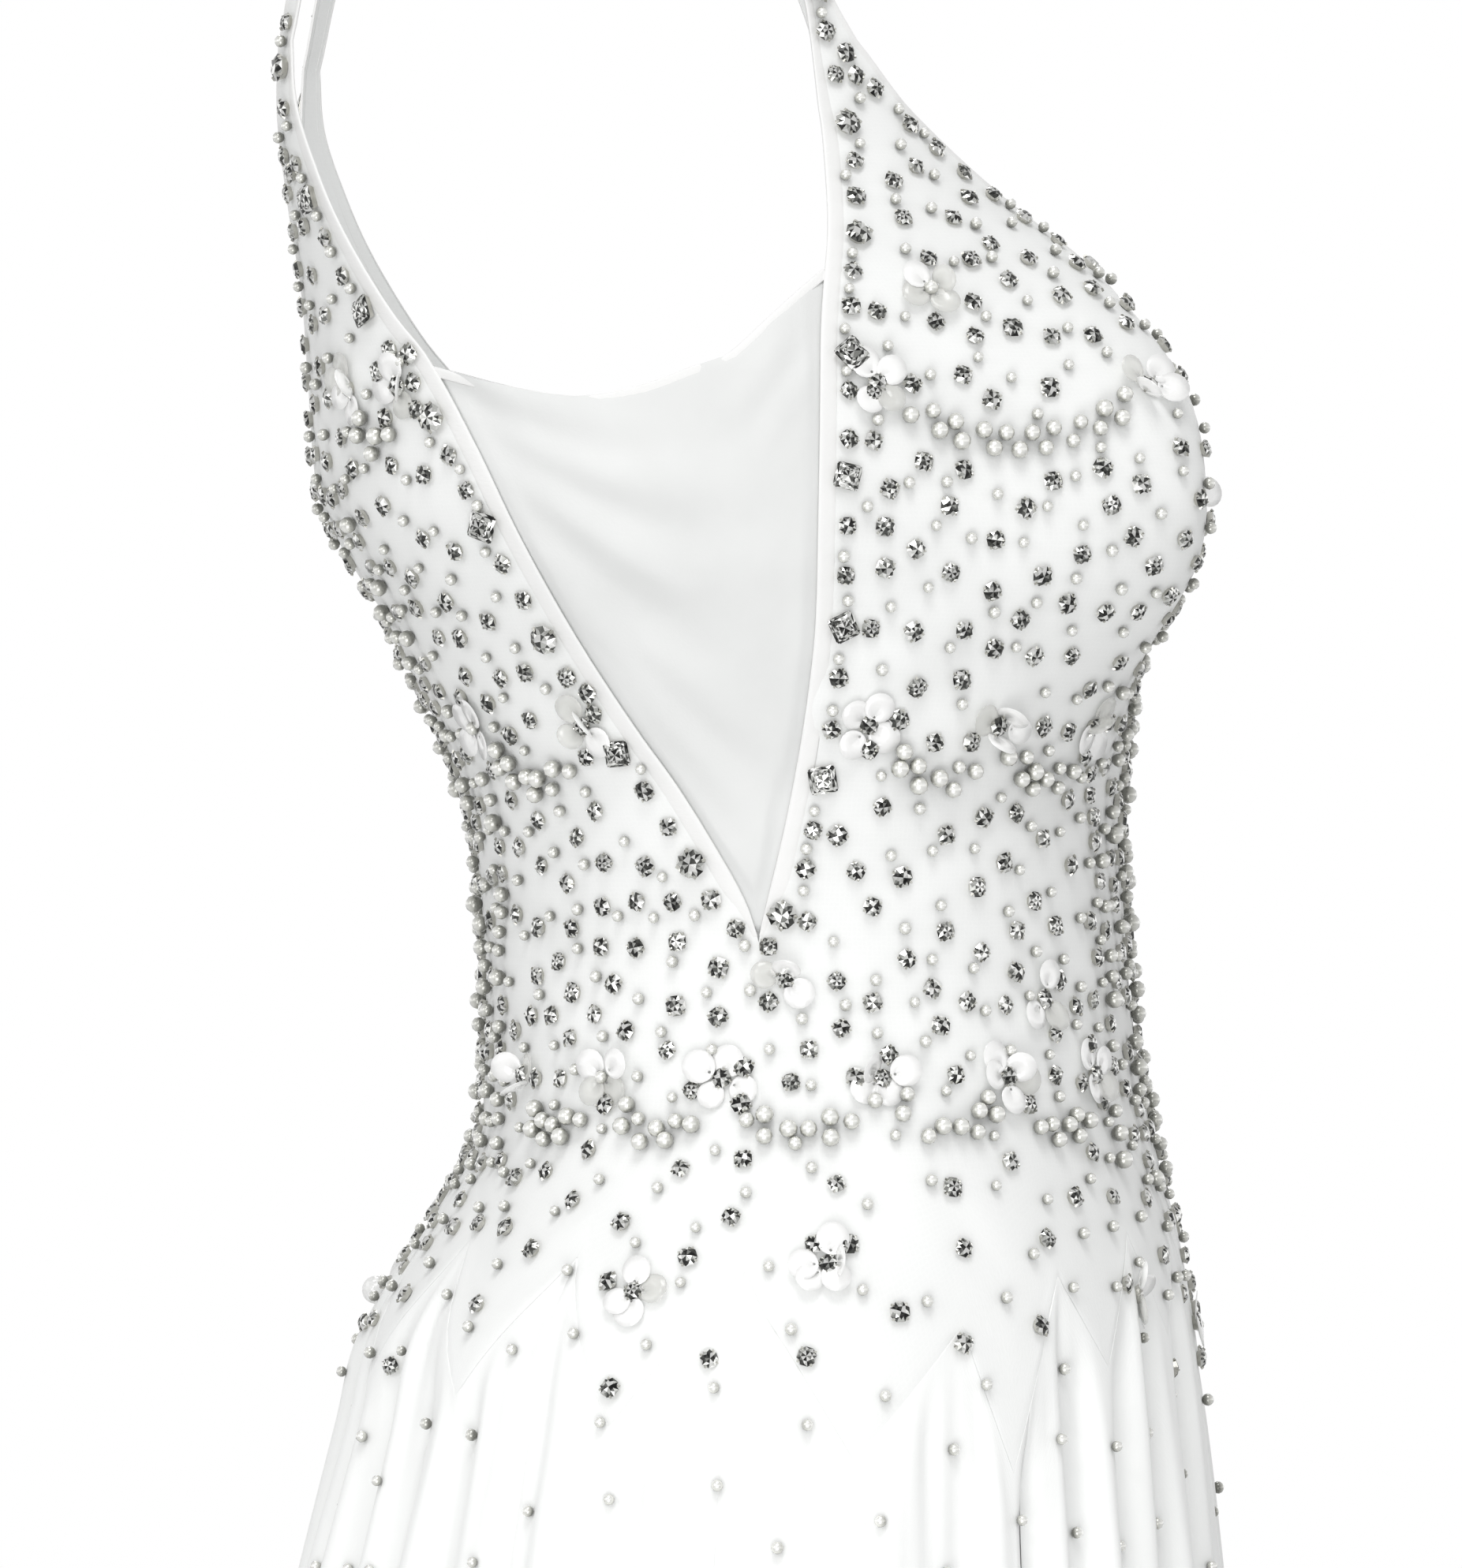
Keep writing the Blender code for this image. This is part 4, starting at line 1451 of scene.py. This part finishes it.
@dataclass
class BeadWork:
    """Everything sewn on the cloth: swags, flowers, rows along the edges, and a scatter that thins downwards.

    Swags of pearls hang in rings round the gown from flowers an even step apart. The other flowers stand by
    chance. Lengths are millimetres, and swag_step, swag_margin and swags_from are degrees round the gown.

    Attributes:
        cloths: The cloth that carries the beads.
        seed: Where the chances start.
        film: The sequins' thickness.
        middle: The X that parts the front pieces from the back ones.
        beads: Everything that is sewn on.
        stone_spacing: The least distance between two stones of the scatter, where it is closest.
        seed_spacing: The same between two seed pearls.
        seed_gap: The least gap from a seed pearl to anything else.
        panel_width: How wide the edge is on the panels, where it tells a row of stones how far in to run.
        strap_width: The same on the strap.
        swag_rings: The heights of the flowers that the swags hang from.
        swag_step: About how far apart those flowers are.
        swag_sag: How far a swag hangs down.
        swag_points: In how many steps its course is followed.
        pair_apart: How far each pearl of a pair is from the swag's middle.
        pair_onward: How far it is ahead of or behind that.
        pair_pitch: The least and greatest distance from pair to pair.
        swag_margin: How far the outer flowers are from the panel's edge.
        swags_from: How far the swags keep from the centre front and back, where the columns are.
        flowers_a_side: How many flowers each side has in all.
        flower_tries: How many places are tried.
        flower_heights: Between which heights they stand.
        scatter_low: How low the scatter goes.
        few_below: Below which height only very few seed pearls are left.
        flower_room: How wide a place has to be clear for a flower.
        flowers_apart: The least distance between two flowers.
        standing_share: The share of sequins that stand up.
        clear_share: The share of clear sequins.
    """

    cloths: Sequence[bpy.types.Object]
    seed: int = 11
    film: float = 0.12
    middle: float = 80.0
    beads: list[Bead] = field(default_factory=list)
    stone_spacing: float = 12.0
    seed_spacing: float = 12.5
    seed_gap: float = 1.2
    panel_width: float = 4.2
    strap_width: float = 2.6
    swag_rings: tuple[float, ...] = (-212, -322, -436)
    swag_step: float = 24.0
    swag_sag: float = 19.0
    swag_points: int = 80
    pair_apart: float = 2.6
    pair_onward: float = 1.9
    pair_pitch: tuple[float, float] = (7.0, 9.6)
    swag_margin: float = 9.0
    swags_from: float = 34.0
    flowers_a_side: int = 23
    flower_tries: int = 4000
    flower_heights: tuple[float, float] = (-520, -105)
    scatter_low: float = -680.0
    few_below: float = -600.0
    flower_room: float = 23.0
    flowers_apart: float = 32.0
    standing_share: float = 0.22
    clear_share: float = 0.25

    def __post_init__(self) -> None:
        """Reads the cloth's outer faces, which carry the beads."""
        self.chance = random.Random(self.seed)
        points: list[Vector] = []
        faces: list[list[int]] = []
        for cloth in self.cloths:
            start = len(points)
            points += [v.co.copy() for v in cloth.data.vertices]
            faces += [[start + i for i in p.vertices] for p in cloth.data.polygons]
        self.tree = BVHTree.FromPolygons(points, faces)
        self.cells: dict[tuple[int, int, int], list[Bead]] = {}
        self.cell = 24 * MM
        self.flower_seats: list[Vector] = []

    def _key(self, at: Vector) -> tuple[int, int, int]:
        """The cell that a point is in."""
        return tuple(math.floor(c / self.cell) for c in at)

    def clear(
        self, at: Vector, width: float, gap: float, kind: BeadKind | None = None, apart: float = 0.0
    ) -> bool:
        """Whether a bead fits at a point.

        Args:
            at: The point, in metres.
            width: The bead's width.
            gap: The least gap to every other bead.
            kind: What it is, where it keeps apart from its like.
            apart: The least distance to the next bead of its kind.

        Returns:
            Whether it fits.
        """
        x, y, z = self._key(at)
        for dx, dy, dz in product((-1, 0, 1), repeat=3):
            for bead in self.cells.get((x + dx, y + dy, z + dz), ()):
                off = (bead.seat - at).length
                least = ((bead.width + width) / 2 + gap) * MM
                if off < least or (bead.kind is kind and off < apart * MM):
                    return False
        return True

    def add(
        self, kind: BeadKind, near: Vector, gap: float | None = None, tilt: float = 0.0, apart: float = 0.0
    ) -> None:
        """Sews a bead on the cloth nearest to a point, if it fits there.

        Args:
            kind: What it is.
            near: A point near the cloth, in millimetres.
            gap: The least gap to every other bead, if it has to keep one.
            tilt: How far it may lean, in degrees.
            apart: The least distance to the next bead of its kind.
        """
        seat, facing, _, _ = self.tree.find_nearest(near * MM)
        width = kind.value * self.chance.uniform(0.92, 1.08)
        if gap is not None and not self.clear(seat, width, gap, kind, apart):
            return
        if tilt:
            axis = Vector([self.chance.uniform(-1, 1) for _ in range(3)]).normalized()
            facing = Matrix.Rotation(math.radians(self.chance.uniform(-tilt, tilt)), 3, axis) @ facing
        bead = Bead(kind, seat, facing.normalized(), width, self.chance.uniform(0, 2 * math.pi))
        self.beads.append(bead)
        self.cells.setdefault(self._key(seat), []).append(bead)

    def place(self, angle: float, height: float, side: Side) -> Vector:
        """A place on the gown's form, in millimetres, on one side."""
        point = FORM.point(angle, height, False)
        return Vector((point.x, point.y * side.value, point.z))

    def spans(self, height: float) -> list[tuple[float, float]]:
        """The stretches of beaded cloth at a height, as angles from front to back."""
        front = FORM.neck(True, height) if height > FORM.neck_front_bottom else 0.0
        back = FORM.neck(False, height) if height > FORM.neck_back_bottom else 180.0
        if height <= FORM.inset_tip:
            return [(front, back)]
        return [(front, FORM.armhole(True, height)), (FORM.armhole(False, height), back)]

    def swags(self, side: Side) -> None:
        """Sews the rings of swags and the flowers that they hang from on one side."""
        hung = []
        for height in self.swag_rings:
            for start, end in self.spans(height):
                first = max(start + self.swag_margin, self.swags_from)
                last = min(end - self.swag_margin, 180 - self.swags_from)
                count = max(1, round((last - first) / self.swag_step))
                step = (last - first) / count
                for k in range(count + 1):
                    self.flower(self.place(first + k * step, height, side))
                hung += [(first + k * step, first + (k + 1) * step, height) for k in range(count)]
        for first, last, height in hung:
            path = []
            for k in range(self.swag_points + 1):
                share = k / self.swag_points
                drop = self.swag_sag * math.sin(math.pi * k / self.swag_points)
                path.append(self.place(between(first, last, share), height - drop, side))
            self._string(path)

    def _string(self, path: list[Vector]) -> None:
        """Sews pearls along a path in uneven pairs."""
        travelled, due = 0.0, 0.0
        for before, after in zip(path, path[1:]):
            travelled += (after - before).length
            if travelled < due:
                continue
            facing = self.tree.find_nearest(after * MM)[1]
            aside = (after - before).cross(facing).normalized()
            onward = (after - before).normalized()
            for row in (-1, 1):
                kind = BeadKind.PEARL if self.chance.random() < 0.85 else BeadKind.SMALL_PEARL
                off = aside * (row * self.pair_apart + self.chance.uniform(-0.4, 0.6))
                on = onward * (row * self.pair_onward + self.chance.uniform(-0.9, 0.9))
                self.add(kind, after + off + on, gap=-0.6)
            due = travelled + self.chance.uniform(*self.pair_pitch)

    def flower(self, centre: Vector) -> None:
        """Sews a flower of cupped sequins, each by the hole near its edge, with stones among them."""
        petals, stones = self.chance.choice((3, 4, 4, 5)), self.chance.choice((1, 2, 2, 3))
        seat, facing, _, _ = self.tree.find_nearest(centre * MM)
        self.flower_seats.append(seat)
        across = facing.orthogonal().normalized()
        first = self.chance.uniform(0, 2 * math.pi)
        for k in range(petals):
            turn = first + 2 * math.pi * k / petals + self.chance.uniform(-0.4, 0.4)
            out = Matrix.Rotation(turn, 3, facing) @ across
            standing = self.chance.random() < self.standing_share
            rise = self.chance.uniform(50, 78) if standing else self.chance.uniform(2, 15)
            lean = Matrix.Rotation(math.radians(rise), 3, out.cross(facing))
            kind = BeadKind.CLEAR_SEQUIN if self.chance.random() < self.clear_share else BeadKind.SEQUIN
            width = kind.value * self.chance.uniform(0.88, 1.08)
            away = self.chance.uniform(1.6, 5.0)
            spot = seat + out * (away * MM) + facing * (self.chance.uniform(0.5, 1.8) * MM)
            up = (lean @ facing).normalized()
            plain = up.to_track_quat("Z", "Y").to_matrix()
            level = plain.transposed() @ (lean @ out)
            bead = Bead(kind, spot, up, width, math.atan2(level.y, level.x))
            self.beads.append(bead)
            for share in (0.2, 0.6):
                body = Bead(kind, seat + out * ((away + width * share) * MM), up, width * 0.5, 0.0)
                self.cells.setdefault(self._key(body.seat), []).append(body)
        self.add(BeadKind.SMALL_PEARL if stones < 2 else BeadKind.ROUND_STONE, seat / MM)
        for k in range(stones):
            turn = first + 2 * math.pi * (k + 0.5) / max(stones, petals) + self.chance.uniform(-0.3, 0.3)
            out = Matrix.Rotation(turn, 3, facing) @ across
            spot = seat / MM + out * self.chance.uniform(8.0, 12.0)
            self.add(BeadKind.ROUND_STONE, spot, gap=-1.6, tilt=12)

    def flowers(self, side: Side) -> None:
        """Sews the other flowers on one side, clear of each other and of all that is there."""
        standing = sum(seat.y * side.value < 0 for seat in self.flower_seats)
        for _ in range(self.flower_tries):
            angle, height = self.chance.uniform(4, 176), self.chance.uniform(*self.flower_heights)
            centre = self.place(angle, height, side)
            seat = self.tree.find_nearest(centre * MM)[0]
            if (
                self.on_panels(angle, height)
                and self.clear(seat, self.flower_room, 0.5)
                and all((seat - other).length > self.flowers_apart * MM for other in self.flower_seats)
            ):
                self.flower(centre)
                standing += 1
            if standing >= self.flowers_a_side:
                break
        LOG.info("%s side: %d flowers", side.word, standing)

    def edge_rows(self, side: Side) -> None:
        """Sews the rows of big stones just inside the armhole and neckline bindings, and along the strap."""
        for armhole, inset, pitch in EDGE_ROWS:
            travelled, due, count = 0.0, 6.0, 0
            frames = panel_frames(armhole, self.panel_width, self.strap_width)
            for (before, _, _, _), (edge, inward, _, wide) in zip(frames, frames[1:]):
                travelled += (edge - before).length
                on_strap = edge.z > FORM.strap_root
                if travelled < due or (on_strap and not armhole):
                    continue
                opened = (wide - self.strap_width) / (self.panel_width - self.strap_width) if armhole else 1.0
                away = 5.4 if on_strap else between(5.6, inset, eased(opened))
                spot = edge + inward * (away + self.chance.uniform(-0.5, 0.9))
                spot.y *= side.value
                big = armhole and count % 3 == 0
                kind = BeadKind.ROUND_STONE
                if big:
                    kind = self.chance.choice((BeadKind.SQUARE_STONE, BeadKind.LARGE_ROUND_STONE))
                self.add(kind, spot, gap=-0.5, tilt=7)
                if armhole and not on_strap and self.chance.random() < 0.3:
                    beside = edge + inward * (away + self.chance.uniform(7.5, 9.5))
                    beside.y *= side.value
                    self.add(BeadKind.ROUND_STONE, beside, gap=0.3, tilt=10)
                if self.chance.random() < 0.45:
                    near = edge + inward * (away - 1.0) + (edge - before).normalized() * 6.2
                    near.y *= side.value
                    self.add(BeadKind.SEED_PEARL, near, gap=0.1)
                count += 1
                due = travelled + pitch * self.chance.uniform(0.88, 1.15)

    def columns(self, side: Side) -> None:
        """Sews the close wavy columns of pearls and stones near the centre front and centre back."""
        kinds = (BeadKind.PEARL, BeadKind.SMALL_PEARL, BeadKind.ROUND_STONE, BeadKind.ROUND_STONE)
        for angle, top, bottom, wave in PEARL_COLUMNS:
            height = float(top)
            phase = self.chance.uniform(0, 6)
            while height > bottom:
                turned = angle + wave * math.sin(height * 0.045 + phase) + self.chance.uniform(-0.6, 0.6)
                self.add(self.chance.choice(kinds), self.place(turned, height, side), gap=-0.2, tilt=8)
                height -= self.chance.uniform(6.0, 9.0)

    def on_panels(self, angle: float, height: float) -> bool:
        """Whether a place lies on beaded cloth, clear of its edges."""
        angle = abs(angle)
        ahead = angle <= FORM.side_seam
        margin = 5.0 / 2.6
        outer, inner = FORM.armhole(ahead, height), FORM.neck(ahead, height)
        if height > FORM.inset_tip:
            if ahead and angle > outer - margin * 1.6:
                return False
            if not ahead and angle < outer + margin * 1.6:
                return False
        bottom = FORM.neck_front_bottom if ahead else FORM.neck_back_bottom
        if height > bottom:
            if ahead and angle < inner + margin:
                return False
            if not ahead and angle > inner - margin:
                return False
        return True

    def density(self, angle: float, height: float) -> float:
        """How close the scatter is, from 1 on the bodice down to a very few on the skirt."""
        angle = abs(angle)
        towards_centre = 1 - eased(min(angle, 180 - angle) / 55)
        start = between(-425, -470, towards_centre)
        end = between(-545, -560, towards_centre)
        return 1 - eased((start - height) / (start - end))

    def scatter(self) -> None:
        """Sews stones and then seed pearls at random, apart from each other and from all that is there."""
        low, high = self.scatter_low, FORM.strap_root
        for kind, tries, gap, apart in (
            (BeadKind.ROUND_STONE, 15000, 2.6, self.stone_spacing),
            (BeadKind.SEED_PEARL, 26000, self.seed_gap, self.seed_spacing),
        ):
            for _ in range(tries):
                height = self.chance.uniform(low, high)
                angle = self.chance.uniform(-180, 180)
                if not self.on_panels(angle, height):
                    continue
                thick = self.density(angle, height)
                small = kind is BeadKind.SEED_PEARL
                keep = max(thick, 0.3 if height > self.few_below else 0.02) if small else thick**1.25
                if self.chance.random() > keep:
                    continue
                spread = 1 + (0.85 if small else 1.0) * (1 - thick)
                point = FORM.point(angle, height, height < FORM.hem_height(angle))
                self.add(kind, point, gap=gap * spread, tilt=10, apart=apart * spread)

    def sew(self) -> None:
        """Sews everything on, and joins it by lot, front or back, and side."""
        for side in Side:
            self.edge_rows(side)
        for side in Side:
            self.swags(side)
            self.columns(side)
            self.flowers(side)
        self.scatter()
        shapes = BeadShapes(self.chance).all()
        for lot in BeadLot:
            for ahead in (True, False):
                for side in Side:
                    chosen = [
                        b
                        for b in self.beads
                        if b.kind in LOTS[lot]
                        and (b.seat.x > self.middle * MM) == ahead
                        and b.seat.y * side.value < 0
                    ]
                    if chosen:
                        word = f"{'front' if ahead else 'back'}_{side.word}"
                        self._joined(f"{lot.value}_{word}", lot, chosen, shapes)

    def _joined(
        self, name: str, lot: BeadLot, beads: list[Bead], shapes: Mapping[BeadKind, list[bpy.types.Mesh]]
    ) -> None:
        """Joins one lot of beads into a piece.

        Args:
            name: The piece's name.
            lot: What the beads are.
            beads: The beads.
            shapes: The shapes of each kind.
        """
        joined = bmesh.new()
        starts = []
        for bead in beads:
            starts.append(len(joined.verts))
            copy = self.chance.choice(shapes[bead.kind]).copy()
            turn = bead.facing.to_track_quat("Z", "Y").to_matrix() @ Matrix.Rotation(bead.turn, 3, "Z")
            copy.transform(Matrix.Translation(bead.seat) @ (turn * (bead.width * MM)).to_4x4())
            joined.from_mesh(copy)
            bpy.data.meshes.remove(copy)
        # Each pearl's height over the cloth, which its material turns into painted shade at the base and a
        # painted highlight on top.
        if lot is BeadLot.PEARLS:
            painted_light_height = joined.verts.layers.float.new("painted_light_height")
            joined.verts.ensure_lookup_table()
            for bead, start, end in zip(beads, starts, [*starts[1:], len(joined.verts)]):
                for vert in joined.verts[start:end]:
                    vert[painted_light_height] = (vert.co - bead.seat).dot(bead.facing) / (bead.width * MM)
        mesh = meshed(name, joined)
        if lot is BeadLot.STONES:
            for finish in (*PAINTED_REFLECTION_FACETS, SETTING):
                mesh.materials.append(finish.material())
            mesh.shade_flat()
        else:
            for finish in (PEARL,) if lot is BeadLot.PEARLS else SEQUINS:
                mesh.materials.append(finish.material())
            mesh.shade_smooth()
        piece = linked(name, mesh)
        if lot is BeadLot.SEQUINS:
            film = piece.modifiers.new("Film", "SOLIDIFY")
            film.thickness = self.film * MM
        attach(piece, BODY)
        LOG.info("%s: %d sewn on, %d faces", name, len(beads), len(mesh.polygons))


class Lamp(NamedTuple):
    """A soft lamp: where it is and its size in metres, its watts, and how far below the aim it points."""

    name: str
    at: tuple[float, float, float]
    size: float
    power: float
    low: float = 0.0


LAMPS = (
    Lamp("key", (0.1, -1.4, 2.2), 1.3, 26.0),
    Lamp("behind", (-0.2, 1.9, 2.0), 1.3, 16.0),
    Lamp("side", (-2.4, -1.8, 0.6), 1.3, 6.0),
    Lamp("low_fill", (0.0, -1.5, -0.95), 0.9, 6.5, 0.22),
    Lamp("window", (-0.9, -2.8, 1.2), 0.7, 7.0),
)


@dataclass
class Studio:
    """A plain pale floor, soft light and the camera at the photographed angle."""

    aim: tuple[float, float, float] = (0.0622, 0.0, -0.341)
    distance: float = 4.0
    turn: float = 1.0
    seen_height: float = 0.5232
    floor_drop: float = 0.004
    sky_strength: float = 1.0

    def floor(self) -> None:
        """A wide pale floor just under the hem."""
        shape = bmesh.new()
        bmesh.ops.create_grid(shape, x_segments=1, y_segments=1, size=9.0)
        bmesh.ops.translate(shape, verts=shape.verts, vec=(0, 0, FORM.hem * MM - self.floor_drop))
        mesh = meshed("floor", shape)
        paint = bpy.data.materials.new("pale_floor_paint")
        paint.use_nodes = True
        shader = paint.node_tree.nodes["Principled BSDF"]
        set_inputs(shader, {"Base Color": linear("#DADADA"), "Roughness": 0.9})
        mesh.materials.append(paint)
        linked("floor", mesh)

    def sky(self) -> None:
        """White walls all round, a brighter ceiling and a dimmer ground."""
        world = bpy.data.worlds.new("white_studio")
        world.use_nodes = True
        tree = world.node_tree
        tree.nodes.clear()
        place = add_node(tree, "ShaderNodeTexCoord")
        height = add_node(tree, "ShaderNodeSeparateXYZ", links={"Vector": (place, "Generated")})
        reach = {"From Min": -1.0, "From Max": 1.0}
        share = add_node(tree, "ShaderNodeMapRange", reach, {"Value": (height, "Z")})
        wall = add_node(tree, "ShaderNodeValToRGB", links={"Fac": (share, "Result")})
        ramp = wall.color_ramp
        ramp.elements[0].position, ramp.elements[0].color = 0.44, linear("#B0B0B0")
        ramp.elements[1].position, ramp.elements[1].color = 0.465, linear("#FFFFFF")
        ramp.elements.new(0.56).color = linear("#FFFFFF")
        ramp.elements.new(0.64).color = linear("#BEBEBE")
        strength = {"Strength": self.sky_strength}
        plain = add_node(tree, "ShaderNodeBackground", strength, {"Color": (wall, "Color")})
        add_node(tree, "ShaderNodeOutputWorld", links={"Surface": (plain, "Background")})
        bpy.context.scene.world = world

    def lamp(self, lamp: Lamp) -> None:
        """A square soft light that shines at the gown."""
        data = bpy.data.lights.new(lamp.name, "AREA")
        data.shape = "SQUARE"
        data.size = lamp.size
        data.energy = lamp.power
        shining = linked(lamp.name, data)
        shining.location = lamp.at
        target = Vector(self.aim) - Vector((0, 0, lamp.low))
        shining.rotation_euler = (target - Vector(lamp.at)).to_track_quat("-Z", "Y").to_euler()

    def camera(self) -> None:
        """The camera, level with the waist and a little ahead of the gown's side."""
        data = bpy.data.cameras.new("camera")
        data.sensor_width = 36.0
        data.lens = data.sensor_width * self.distance / self.seen_height
        data.clip_end = 50.0
        camera = linked("camera", data)
        turn = math.radians(self.turn)
        look = Vector((-math.sin(turn), math.cos(turn), 0.0))
        camera.location = Vector(self.aim) - look * self.distance
        camera.rotation_euler = look.to_track_quat("-Z", "Y").to_euler()
        bpy.context.scene.camera = camera

    def build(self) -> None:
        """Sets up the floor, the light and the camera."""
        self.floor()
        self.sky()
        for lamp in LAMPS:
            self.lamp(lamp)
        self.camera()
        view = bpy.context.scene.view_settings
        view.view_transform = "Standard"
        view.look = "None"


def main() -> None:
    """Builds the gown in order and reports each piece."""
    logging.basicConfig(level=logging.INFO, format="%(message)s")
    cloths = []
    for side in Side:
        for ahead in (True, False):
            cloths.append(BeadedPanel(ahead, side).build())
        SideInset(side).build()
        for edge, frames in (
            ("armhole", panel_frames(True, ARMHOLE_BAND, STRAP_BAND)),
            ("neckline", panel_frames(False, NECK_BAND, NECK_BAND)),
            ("inset", inset_frames(INSET_BAND)),
        ):
            EdgeBand(f"{edge}_band_{side.word}", f"{edge}_binding_{side.word}", side, frames).build()
    gores = [("skirt_front", -FRONT_SEAM, FRONT_SEAM)]
    seams = (FRONT_SEAM, FORM.side_seam, BACK_SEAM, 180.0)
    for side in Side:
        for name, low, high in zip(("side_front", "side_back", "back"), seams, seams[1:]):
            gores.append((f"skirt_{name}_{side.word}", *sorted((side.value * low, side.value * high))))
    cloths += [SkirtGore(*gore).build() for gore in gores]
    BeadWork(cloths).sew()
    Studio().build()


if __name__ == "__main__":
    main()
